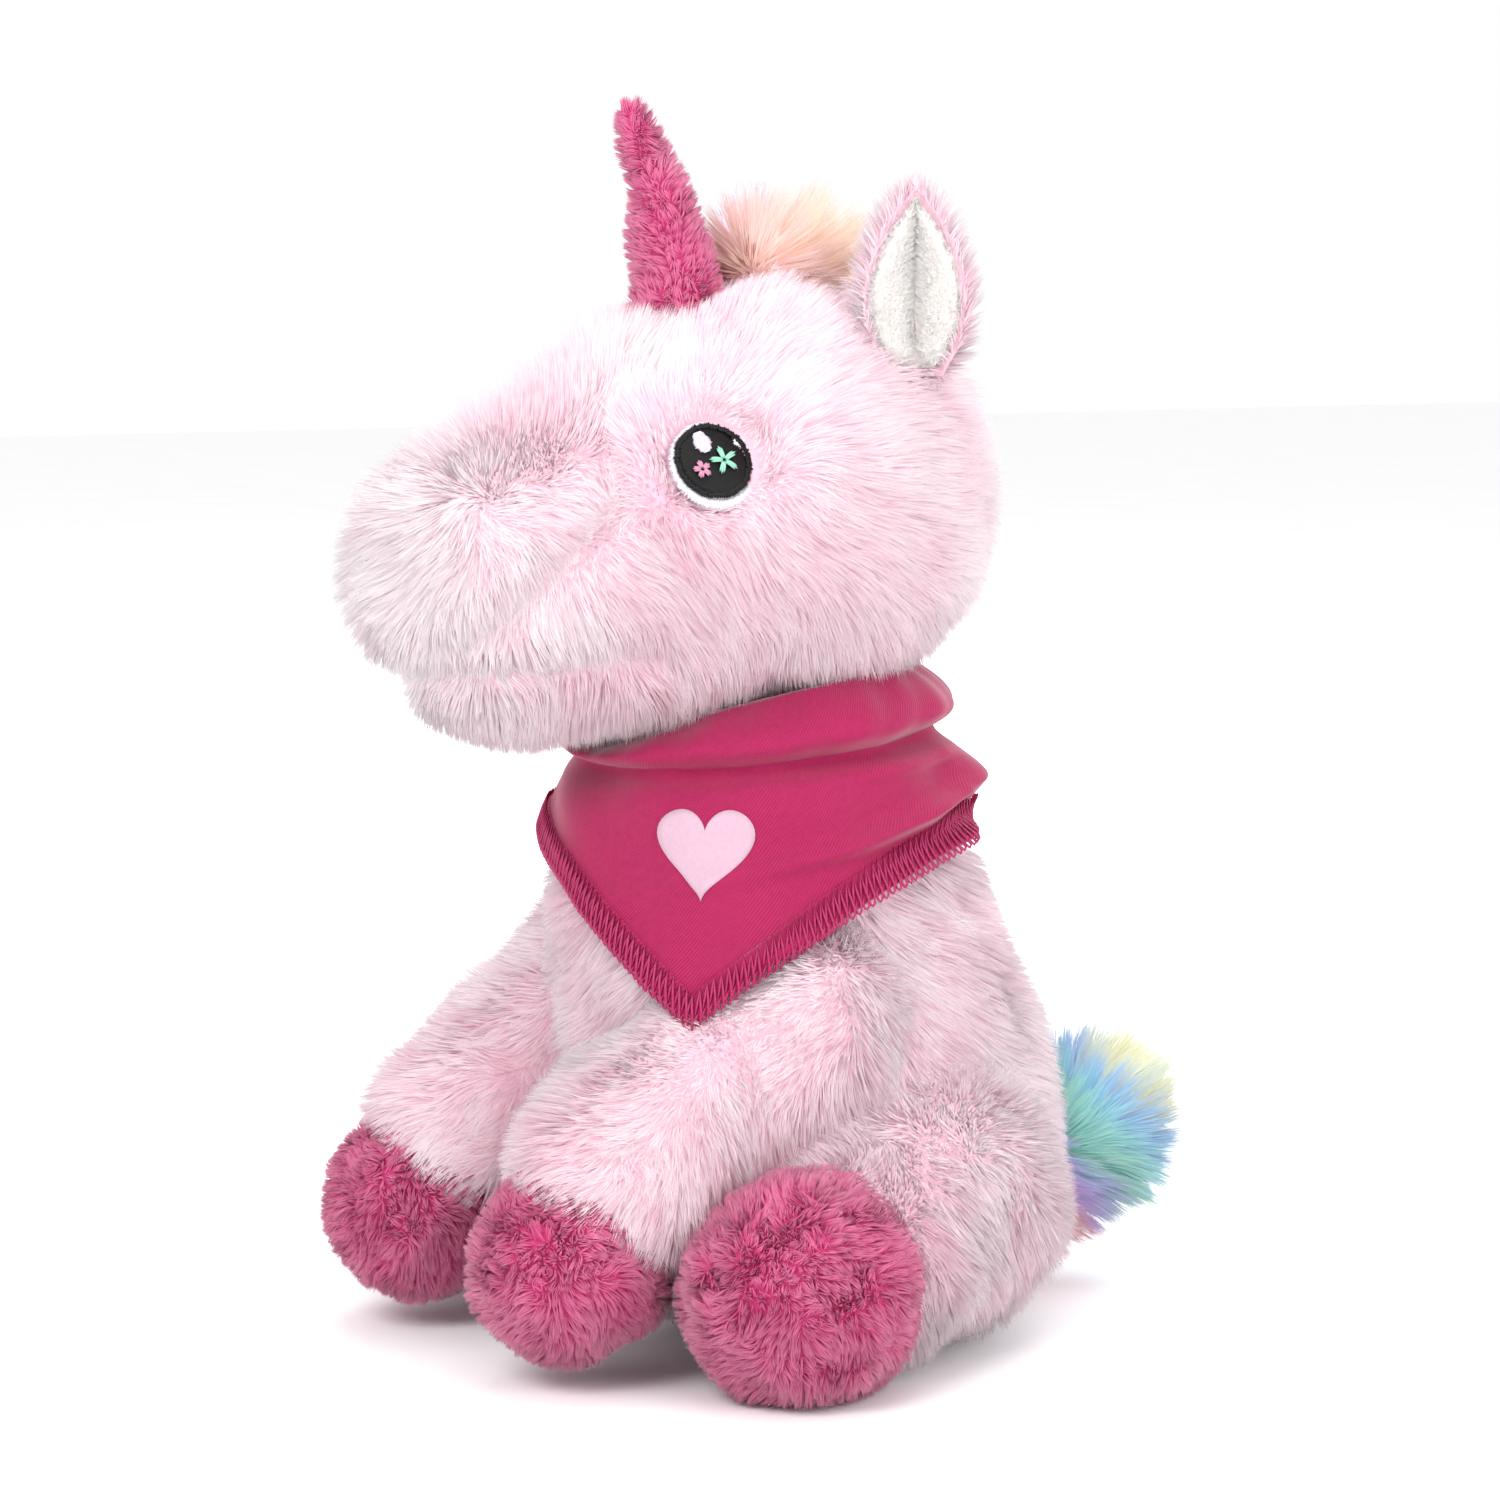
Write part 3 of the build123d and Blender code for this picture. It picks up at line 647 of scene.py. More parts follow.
@dataclass
class Coat:
    """A pile on one skin: where it grows, which way it is combed, how long and how pale it is."""

    pile: Pile
    finish: Enum
    comb: Callable[[np.ndarray, np.ndarray], np.ndarray]
    grows: Field = lambda points: np.ones(len(points), bool)
    trim: Field = lambda points: np.ones(len(points))
    band: Field = lambda points: np.zeros(len(points))
    seed: int = 1

    def grow(self, name: str, skin: Skin, body: str) -> bpy.types.Object:
        """Grow the pile as one mesh of blades.

        Args:
            name: The object's name.
            skin: The skin that it grows on.
            body: The CAD body that it moves with.

        Returns:
            The pile's object.
        """
        rng = np.random.default_rng(self.seed)
        pile = self.pile
        roots, normals = skin.scatter(pile.density, rng)
        kept = self.grows(roots)
        roots, normals = roots[kept], normals[kept]
        count = len(roots)

        combing = unit(self.comb(roots, normals))
        # where the comb runs straight into the skin the pile stands up instead of parting
        hold = np.sqrt(1 - np.clip(np.sum(combing * normals, axis=1) ** 2, 0, 1))
        lie = across(roots, combing, normals)
        lie = across(roots, lie + wander(roots, pile.unrest_size, 40) * pile.unrest * 1.4
                     + rng.normal(size=(count, 3)) * 0.22, normals)
        patch = waves(roots, 22, 11)
        length = pile.length * self.trim(roots) * rng.normal(1, 0.13, count).clip(0.6, 1.3)
        length *= 1 + 0.10 * patch
        lean = (pile.lean + 0.12 * waves(roots, 9, 23)) * np.clip(0.2 + 1.3 * hold, 0, 1)
        lean = np.clip(lean, 0.08, 0.9)[:, None]
        reach = length[:, None]
        tips = roots + reach * (normals * np.sqrt(1 - lean**2) + lie * lean)

        keys = np.floor((roots + wander(roots, pile.clump * 3, 61) * pile.clump * 0.5) / pile.clump)
        middle = clump_means(keys, tips)
        pull = (pile.pull * rng.uniform(0.55, 1.25, count)).clip(0, 0.92)[:, None]
        tips = tips + (middle - tips) * pull

        way = unit(tips - roots)
        facing = unit(np.cross(way, rng.normal(size=(count, 3))))
        third = np.cross(way, facing)
        radius = (pile.width / 2 * rng.uniform(0.8, 1.2, count))[:, None, None]

        x, y, t = (BLADE_PLACES[:, k][None, :, None] for k in range(3))
        middle_line = roots[:, None] * (1 - t) + tips[:, None] * t
        points = middle_line + radius * (facing[:, None] * x + third[:, None] * y)
        points[:, :, 2] = np.maximum(points[:, :, 2], FLOOR_CLEARANCE)
        size = len(BLADE_PLACES)
        faces = (BLADE_TRIANGLES[None] + (np.arange(count) * size)[:, None, None]).reshape(-1, 3)
        mesh = mesh_from_arrays(name, points.reshape(-1, 3), faces)

        along = np.tile(BLADE_PLACES[:, 2], count)
        add_number(mesh, "along", along)
        tone = 0.16 * patch + 0.16 * waves(roots, 7, 31) + rng.normal(0, 0.13, count)
        add_number(mesh, "shade", np.repeat(tone, size))
        add_number(mesh, "band", np.repeat(self.band(roots).clip(0, 1), size))
        self.lay_out(mesh, count)
        soft = unit(normals[:, None] + way[:, None] * (0.15 + 0.45 * t)
                    + facing[:, None] * rng.normal(0, 0.22, count)[:, None, None])
        mesh.normals_split_custom_set_from_vertices(soft.reshape(-1, 3))
        thing = place_mesh(name, mesh, self.finish, body)
        # pale fibres pass light on to each other, so the skin alone casts the shadow
        thing.visible_shadow = self.finish is Finish.HOT_PILE
        return thing

    @staticmethod
    def lay_out(mesh: bpy.types.Mesh, count: int) -> None:
        """Give each blade its own small cell of a square UV map."""
        across_map = int(sqrt(count)) + 1
        number = np.arange(count)
        corner = np.stack((number % across_map, number // across_map), axis=1) / across_map
        inside = np.stack((0.5 + BLADE_PLACES[:, 0] * 0.35, 0.1 + BLADE_PLACES[:, 2] * 0.8), axis=1)
        places = corner[:, None] + inside[None] / across_map
        loops = np.empty(len(mesh.loops), int)
        mesh.loops.foreach_get("vertex_index", loops)
        layer = mesh.uv_layers.new(name="OFBake")
        layer.data.foreach_set("uv", places.reshape(-1, 2)[loops].ravel())


# ---------------------------------------------------------------- threads
def thread_object(name: str, paths: np.ndarray, up: np.ndarray, width: float, height: float,
                  finish: Enum, body: str) -> bpy.types.Object:
    """Lay flattened threads along paths of equal length.

    Args:
        name: The object's name.
        paths: Points of every thread, as an array of threads by points by 3, in millimetres.
        up: The way the threads are flattened against, one vector or one for each point.
        width: Across one thread.
        height: Its height.
        finish: The thread's finish.
        body: The CAD body that it moves with.

    Returns:
        The object.
    """
    corners = 6
    threads, steps, _ = paths.shape
    ups = np.broadcast_to(up, paths.shape)
    forward = unit(np.gradient(paths, axis=1))
    side = unit(np.cross(forward, ups))
    lift = unit(np.cross(side, forward))
    rounding = np.ones(steps)
    rounding[[0, -1]] = 0.25
    turn = np.arange(corners) * 2 * pi / corners
    rings = (
        paths[:, :, None]
        + side[:, :, None] * np.cos(turn)[None, None, :, None] * rounding[None, :, None, None] * width / 2
        + lift[:, :, None] * np.sin(turn)[None, None, :, None] * rounding[None, :, None, None] * height / 2
    )
    first = np.arange(steps - 1)[:, None] * corners + np.arange(corners)[None]
    after = np.arange(steps - 1)[:, None] * corners + (np.arange(corners) + 1)[None] % corners
    quads = np.stack((first, after, after + corners, first + corners), axis=-1).reshape(-1, 4)
    caps = np.array([[0, 3, 2, 1], [0, 5, 4, 3]])
    last = (steps - 1) * corners
    ends = np.concatenate((caps, caps[:, ::-1] + last))
    one = np.concatenate((quads, ends))
    faces = (one[None] + (np.arange(threads) * steps * corners)[:, None, None]).reshape(-1, 4)
    mesh = mesh_from_arrays(name, rings.reshape(-1, 3), faces)
    bm = bmesh.new()
    bm.from_mesh(mesh)
    bmesh.ops.recalc_face_normals(bm, faces=bm.faces)
    bm.to_mesh(mesh)
    bm.free()
    mesh.shade_smooth()
    return place_mesh(name, mesh, finish, body)


# ---------------------------------------------------------------- the toy's bodies, as in the CAD frame
TORSO = Pad((0, 1, 40), (0, -8.5, 83), 47.5, 39.5)
TORSO_TOP = 104.0
NECK_AXIS_Y = -10.0
HEAD = Pad((0, -10, 165), (0, -66, 151.5), 42, 27.5)
MUZZLE_SEAM = 39.0
MOUTH_HEIGHT = 137.0
FRONT_LEG = Pad((28, -19, 64), (30, -60, 36), 19.5, 16.5)
FRONT_HOOF = Pad((30.5, -69.5, 24), (30.6, -71.0, 23.0), 16, 15.6)
FRONT_CUFF = 54.0
HIND_LEG = Pad((38, 6, 30), (55.5, -28, 21), 22.5, 17)
HIND_HOOF = Pad((60, -36, 19.8), (60.8, -37.7, 19.3), 19.6, 19.2)
HIND_CUFF = 38.0
TAIL = Pad((2, 46, 23), (9, 63, 32), 12, 11.5)
HORN = Pad((0, -28, 202), (0, -38.5, 240), 9.5, 2.8)
EAR_ROOT = np.array((32.5, 6.0, 189.5))
EAR_FACING = -32.0
EAR_HEIGHT = 36.0
EAR_WIDTH = 20.0
MANE_WIDTH = 13.0
LEGS = (FRONT_LEG, HIND_LEG, FRONT_LEG.mirrored(), HIND_LEG.mirrored())


def outside_of(pads: tuple[Pad, ...], points: np.ndarray, margin: float) -> np.ndarray:
    """Whether each point is no deeper than a margin inside any of the pads."""
    clear = np.ones(len(points), bool)
    for pad in pads:
        clear &= pad.distance(points) > -margin
    return clear


def lumpy(amount: float, size: float, seed: int) -> Callable[[np.ndarray, np.ndarray], np.ndarray]:
    """A shaping function that gives a surface soft lumps and keeps it above the floor."""

    def shaped(points: np.ndarray, normals: np.ndarray) -> np.ndarray:
        """Lift each point by smooth noise."""
        return above_floor(points + normals * (amount * waves(points, size, seed))[:, None])

    return shaped


def combed(way: tuple[float, float, float]) -> Callable[[np.ndarray, np.ndarray], np.ndarray]:
    """A comb that draws the whole pile one way."""
    return lambda points, normals: np.broadcast_to(np.array(way, float), points.shape)


def make_filling(name: str, pad: Pad, body: str,
                 cut: Callable[[bmesh.types.BMesh], None] | None = None) -> None:
    """Make the lumpy filling of one skin, in place of the CAD filling of that name."""
    bm = pad.spin(3.5)
    move_vertices(bm, lumpy(0.8, 11, 7))
    if cut:
        cut(bm)
    thing = make_object(f"{name}_fibre", bm, Finish.FIBRE, body)
    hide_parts(name)


def bisect(bm: bmesh.types.BMesh, point: np.ndarray, normal: np.ndarray) -> None:
    """Cut away what lies on the normal's side of a plane, and close the hole."""
    bmesh.ops.bisect_plane(
        bm, geom=bm.verts[:] + bm.edges[:] + bm.faces[:], plane_co=Vector(point),
        plane_no=Vector(normal), clear_outer=True, dist=0.001,
    )
    bmesh.ops.holes_fill(bm, edges=[edge for edge in bm.edges if edge.is_boundary])
    face_outwards(bm)


# ---------------------------------------------------------------- torso and neck
@dataclass
class Torso:
    """The pear-shaped body, its filling and the pellet bag in its seat."""

    lump: float = 0.9
    lump_size: float = 34.0

    def build(self) -> None:
        """Make the skin, the pile in front and behind, the filling and the pellet bag."""
        bm = TORSO.grown(-0.5).spin(2.6)
        bisect(bm, np.array((0, 0, TORSO_TOP)), UP)
        move_vertices(bm, lumpy(self.lump, self.lump_size, 3))
        skin = make_skin(
            "torso_plush_skin", bm, Finish.PINK_BACKING, "torso", 0.8, "plush_pink", "torso_skin"
        )
        surface = Skin.of(skin)
        for half, sign in (("front", -1), ("back", 1)):
            coat = Coat(
                LONG_PILE, Finish.PINK_PILE, combed((0, 0.1 * sign, -1)),
                grows=lambda points, sign=sign: self.grows(points) & (points[:, 1] * sign > -4 * sign),
                trim=self.trim, band=self.paleness, seed=5 + sign,
            )
            coat.grow(f"torso_pile_{half}", surface, "torso")
        make_filling("torso_stuffing", TORSO.grown(-9), "torso",
                     lambda bm: bisect(bm, np.array((0, 0, TORSO_TOP - 3)), UP))
        self.build_pellet_bag()

    @staticmethod
    def grows(points: np.ndarray) -> np.ndarray:
        """Where the torso's skin isn't hidden by a limb, the seat or the neck."""
        shown = outside_of(LEGS, points, 6) & outside_of((TAIL,), points, 5)
        return shown & (points[:, 2] > 2.2) & (points[:, 2] < TORSO_TOP - 4)

    @staticmethod
    def trim(points: np.ndarray) -> np.ndarray:
        """The pile is pressed short under the bandana and where a limb leans on it."""
        under = Bandana.cover(points)
        crease = np.min([leg.distance(points) for leg in LEGS], axis=0)
        return np.where(under, 0.35, 1.0) * np.clip(0.75 + crease / 16, 0.55, 1.0)

    @staticmethod
    def paleness(points: np.ndarray) -> np.ndarray:
        """Brushed places are paler."""
        return 0.28 + 0.25 * waves(points, 40, 17)

    @staticmethod
    def build_pellet_bag() -> None:
        """Make the cotton pouch of pellets in the seat."""
        bm = Pad((0, -16, 11), (0, 20, 11), 12, 12).spin(2.5)
        move_vertices(bm, lumpy(0.7, 5, 9))
        make_skin(
            "pellet_pouch", bm, Finish.POUCH, "torso", 0.6, "pellet_bag_cotton", "seat_pellet_bag"
        )


@dataclass
class Neck:
    """The short stuffed ring between the torso and the head."""

    radius: float = 29.0
    low: float = 103.0
    high: float = 126.0

    def build(self) -> None:
        """Make the ring's skin, pile and filling."""
        tall = self.high - self.low
        profile = [
            (self.low + tall * share, self.radius * sin(pi * (0.08 + 0.84 * share)) ** 0.25)
            for share in np.linspace(0, 1, 12)
        ]
        profile = [(self.low, 0.0), *profile, (self.high, 0.0)]
        bm = spin_profile(profile, np.array((0.0, NECK_AXIS_Y, 0.0)), UP, 3.0)
        move_vertices(bm, lumpy(0.5, 20, 4))
        skin = make_skin("neck_plush_skin", bm, Finish.PINK_BACKING, "neck", 0.7, "plush_pink", "neck_skin")
        coat = Coat(
            LONG_PILE, Finish.PINK_PILE, combed((0, 0, -1)),
            grows=lambda points: (points[:, 2] > 106) & (points[:, 2] < 123),
            trim=lambda points: np.full(len(points), 0.6), seed=8,
        )
        coat.grow("neck_pile", Skin.of(skin), "neck")
        make_filling("neck_stuffing", Pad((0, -10, 113), (0, -10.1, 116), 9, 9), "neck")


# ---------------------------------------------------------------- head
@dataclass
class Head:
    """The head with its sewn muzzle cap and mouth."""

    seam_depth: float = 3.4
    seam_width: float = 3.6
    seam_ahead: float = 23.0  # of the cap's edge on the side of the muzzle
    mouth_depth: float = 4.2
    mouth_width: float = 3.4

    def build(self) -> None:
        """Make the skin, the pile on both sides, and the filling."""
        bm = HEAD.grown(-0.5).spin(2.4)
        move_vertices(bm, self.shaped)
        skin = make_skin(
            "head_plush_skin", bm, Finish.PINK_BACKING, "head", 0.85, "plush_pink",
            "head_skin", "muzzle_skin", "chin_skin",
        )
        surface = Skin.of(skin)
        for side, sign in (("left", 1), ("right", -1)):
            coat = Coat(
                LONG_PILE, Finish.PINK_PILE, self.comb,
                grows=lambda points, sign=sign: self.grows(points) & (points[:, 0] * sign > 0),
                trim=self.trim, band=self.paleness, seed=20 + sign,
            )
            coat.grow(f"head_pile_{side}", surface, "head")
        make_filling("head_stuffing", HEAD.grown(-5), "head")

    def seam(self, points: np.ndarray) -> np.ndarray:
        """How deep each point lies in the muzzle's seam or the mouth, from 0 to 1."""
        ahead = HEAD.along(points) - MUZZLE_SEAM
        side = np.clip((np.abs(points[:, 0]) - 4) / 10, 0, 1)
        # the cap's seam slants from the front of the eye down to the mouth
        slant = (ahead - self.seam_ahead + 1.15 * (points[:, 2] - 155)) / 1.52
        cap = np.exp(-((slant / self.seam_width) ** 2)) * side
        cap *= np.clip((178 - points[:, 2]) / 12, 0, 1) * np.clip((points[:, 2] - 134) / 6, 0, 1)
        low = points[:, 2] - (MOUTH_HEIGHT + 0.1 * (points[:, 1] + 66))
        mouth = np.exp(-((low / self.mouth_width) ** 2)) * np.clip(ahead / 8, 0, 1)
        return np.maximum(cap * self.seam_depth, mouth * self.mouth_depth) / self.mouth_depth

    def shaped(self, points: np.ndarray, normals: np.ndarray) -> np.ndarray:
        """Press in the seams and give the head soft lumps."""
        depth = self.seam(points) * self.mouth_depth
        lumps = 1.1 * waves(points, 30, 5)
        shaped = points + normals * (lumps - depth)[:, None]
        for eye in (EYE_LEFT, EYE_RIGHT):
            local = shaped - eye.centre
            height = local @ eye.outward
            sideways = np.linalg.norm(local - height[:, None] * eye.outward, axis=1)
            share = np.clip((12.5 - sideways) / 3, 0, 1) * (np.abs(height) < 12)
            shaped = shaped - eye.outward * (share * (height + eye.sunk + 0.5))[:, None]
        return shaped

    @staticmethod
    def comb(points: np.ndarray, normals: np.ndarray) -> np.ndarray:
        """The pile runs back over the face, down the cheeks, and away from the eyes."""
        front = np.clip((HEAD.along(points) - 35) / 30, 0, 1)
        cheek = np.clip((158 - points[:, 2]) / 16, 0, 1)
        fall = np.maximum(front, cheek)[:, None]
        way = np.array((0.0, 0.75, -0.3)) * (1 - fall) + np.array((0.0, 0.12, -1.0)) * fall
        for eye in (EYE_LEFT, EYE_RIGHT):
            out = points - eye.centre
            near = np.exp(-((np.linalg.norm(out, axis=1) / 14) ** 2))
            way += unit(out) * near[:, None] * 4
        return way

    @staticmethod
    def grows(points: np.ndarray) -> np.ndarray:
        """Where the head isn't covered by an eye or the horn."""
        clear = HORN.distance(points) > -2.5
        for eye in (EYE_LEFT, EYE_RIGHT):
            clear &= np.linalg.norm(points - eye.centre, axis=1) > 8.9
        return clear

    def trim(self, points: np.ndarray) -> np.ndarray:
        """The pile is short round the eyes, in the seams and round the horn."""
        share = 1 - 0.45 * self.seam(points)
        for eye in (EYE_LEFT, EYE_RIGHT):
            gap = np.linalg.norm(points - eye.centre, axis=1) - 9.3
            share *= np.clip(0.42 + gap / 13, 0.4, 1)
        share *= np.clip(0.5 + HORN.distance(points) / 9, 0.5, 1)
        return share

    @staticmethod
    def paleness(points: np.ndarray) -> np.ndarray:
        """The muzzle is brushed palest."""
        ahead = HEAD.along(points)
        return np.clip((ahead - 55) / 30, 0, 0.8) + 0.22 + 0.22 * waves(points, 36, 19)


@dataclass(frozen=True)
class Eye:
    """One embroidered eye: stacked layers of satin stitches."""

    side: int
    from_axis: float = 34.3
    along_head: float = 25.3
    up: float = 27.2
    sunk: float = 1.3
    layer: float = 0.5
    pupil: float = 7.7

    @property
    def radial(self) -> np.ndarray:
        """From the head's axis to the eye, for the left eye."""
        up_way = np.cross(HEAD.axis, (1.0, 0.0, 0.0))
        return np.array((cos(radians(self.up)), 0, 0)) + up_way * sin(radians(self.up))

    def flipped(self, vector: np.ndarray) -> np.ndarray:
        """A left-hand vector or point, for this eye's side."""
        return vector * np.array((self.side, 1, 1))

    @property
    def outward(self) -> np.ndarray:
        """Out of the head at the eye."""
        return self.flipped(HEAD.axis * HEAD.taper + self.radial * sqrt(1 - HEAD.taper**2))

    @property
    def centre(self) -> np.ndarray:
        """The middle of the eye on the head's surface."""
        start = np.array(HEAD.start, float)
        return self.flipped(start + HEAD.axis * self.along_head + self.radial * self.from_axis)

    @property
    def back_way(self) -> np.ndarray:
        """Along the eye's plane, towards the back of the head."""
        return self.flipped(-HEAD.axis)

    @property
    def up_way(self) -> np.ndarray:
        """Along the eye's plane, upwards."""
        way = np.cross(self.outward, self.back_way)
        return way * self.side

    def on_plane(self, x: np.ndarray, y: np.ndarray, height: np.ndarray) -> np.ndarray:
        """Points of the eye's plane, x to the back, y up, and a height above its floor."""
        floor = self.centre - self.outward * self.sunk
        parts = ((x, self.back_way), (y, self.up_way), (height, self.outward))
        return floor + sum(np.asarray(value)[..., None] * way for value, way in parts)

    def satin(self, layer: str, finish: Enum, half_width: Field, reach: tuple[float, float], pitch: float,
              level: float, turn: float = 0.0, centre: tuple[float, float] = (0.0, 0.0),
              crown: float = 0.3) -> bpy.types.Object:
        """Fill an outline with parallel satin stitches.

        Args:
            layer: The CAD layer that this stands for.
            finish: The thread's finish.
            half_width: The outline's half width at each distance across the stitches.
            reach: The lowest and highest distance across the stitches.
            pitch: Millimetres from one stitch to the next.
            level: Height of the layer above the eye's floor.
            turn: Degrees that the stitches are turned by.
            centre: The outline's middle.
            crown: How much the stitches rise in their middle.

        Returns:
            The stitches' object.
        """
        rng = np.random.default_rng(int(level * 10) + 3)
        rows = np.arange(reach[0] + pitch / 2, reach[1], pitch)
        half = half_width(rows) + rng.uniform(-0.22, 0.22, len(rows))
        share = np.linspace(-1, 1, 9)
        x = half[:, None] * share[None]
        y = np.broadcast_to(rows[:, None], x.shape)
        rise = level + crown * (1 - share[None] ** 4) * np.ones_like(x)
        a = radians(turn)
        paths = self.on_plane(
            centre[0] + x * cos(a) - y * sin(a), centre[1] + x * sin(a) + y * cos(a), rise
        )
        thing = thread_object(
            f"{self.word}_{layer}_stitches", paths, self.outward, pitch * 1.25, pitch * 0.9, finish, "head"
        )
        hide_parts(f"{self.word}_{layer}")
        return thing

    @property
    def word(self) -> str:
        """The eye's name in the CAD frame."""
        return "eye_left" if self.side > 0 else "eye_right"

    def ring(self, name: str, finish: Enum, radius: float, length: float, level: float, count: int,
             drop: float = 0.0) -> None:
        """Lay short radial stitches round a circle, set a little below the eye's middle."""
        rng = np.random.default_rng(count)
        turn = np.arange(count) * 2 * pi / count
        outer = radius + rng.uniform(-0.15, 0.35, count)
        share = np.linspace(0, 1, 5)
        r = outer[:, None] - length * share[None]
        rise = level + 0.28 * np.sin(pi * share)[None] * np.ones_like(r)
        paths = self.on_plane(r * np.cos(turn)[:, None], r * np.sin(turn)[:, None] - drop, rise)
        thread_object(f"{self.word}_{name}", paths, self.outward, 0.5, 0.4, finish, "head")

    def star(self, layer: str, finish: Enum, centre: tuple[float, float], arm: float) -> None:
        """Lay three stitches on each of five arms."""
        share = np.linspace(0, 1, 6)
        paths = []
        for turn in (90 + 72 * k for k in range(5)):
            for offset in (-0.34, 0.0, 0.34):
                a = radians(turn)
                r = 0.25 + (arm * (1 - abs(offset) * 0.35) - 0.25) * share
                spread = offset * (0.7 + 0.5 * share)
                x = centre[0] + r * cos(a) - spread * sin(a)
                y = centre[1] + r * sin(a) + spread * cos(a)
                rise = 3 * self.layer + 0.2 + 0.3 * np.sin(pi * share) + 0.1 * (offset == 0)
                paths.append(self.on_plane(x, y, rise))
        thing = thread_object(f"{self.word}_{layer}_stitches", np.array(paths), self.outward, 0.42, 0.4,
                              finish, "head")
        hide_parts(f"{self.word}_{layer}")

    def build(self) -> None:
        """Stitch the eye, from the white oval up to the stars."""
        oval = lambda wide, tall: lambda y: wide * np.sqrt(np.clip(1 - (y / tall) ** 2, 0, 1))
        white = self.satin("white", Finish.WHITE_THREAD, oval(9.2, 9.5), (-9.4, 9.4), 0.42, 0.35,
                           centre=(-0.2, -0.9), crown=0.1)
        self.ring("white_rim", Finish.WHITE_THREAD, 9.3, 2.4, 0.5, 150, drop=0.9)
        pupil = self.satin("pupil", Finish.BLACK_THREAD, oval(7.9, 7.9), (-7.8, 7.8), 0.4, 0.95, turn=20,
                           crown=0.35)
        self.ring("pupil_rim", Finish.BLACK_THREAD, self.pupil + 0.3, 1.4, 1.25, 120)
        light = self.satin("highlight", Finish.LILAC_THREAD, oval(1.9, 2.3), (-2.2, 2.2), 0.34, 1.5, turn=4,
                           centre=(-0.6, 4.2), crown=0.25)
        self.star("mint_star", Finish.MINT_THREAD, (2.1, -0.6), 3.1)
        self.star("pink_star", Finish.ROSE_THREAD, (-3.1, -1.1), 2.0)


EYE_LEFT = Eye(1)
EYE_RIGHT = Eye(-1)


# ---------------------------------------------------------------- horn, ears, mane
@dataclass
class Horn:
    """The short-piled horn, bowed slightly forwards."""

    bow: float = 2.2

    def build(self) -> None:
        """Make the skin, the pile and the filling."""
        bm = HORN.grown(-0.6).spin(1.5)
        move_vertices(bm, self.shaped)
        skin = make_skin(
            "horn_plush_skin", bm, Finish.HOT_BACKING, "horn", 0.9, "plush_hot_pink", "horn_skin"
        )
        coat = Coat(
            SHORT_PILE, Finish.HOT_PILE, combed((0, -0.2, 1)),
            grows=lambda points: HEAD.distance(points) > -4, seed=31,
            trim=lambda points: np.full(len(points), 0.8),
        )
        coat.grow("horn_pile", Skin.of(skin), "horn")
        make_filling("horn_stuffing", Pad((0, -27.5, 202), (0, -32.5, 225), 6.0, 2.4), "horn")

    def shaped(self, points: np.ndarray, normals: np.ndarray) -> np.ndarray:
        """Bow the horn and give it a few soft lumps."""
        share = np.clip(HORN.along(points) / HORN.length, 0, 1)
        bowed = points + np.array((0, 1, 0)) * (self.bow * np.sin(pi * share))[:, None]
        return bowed + normals * (0.5 * waves(points, 12, 6))[:, None]


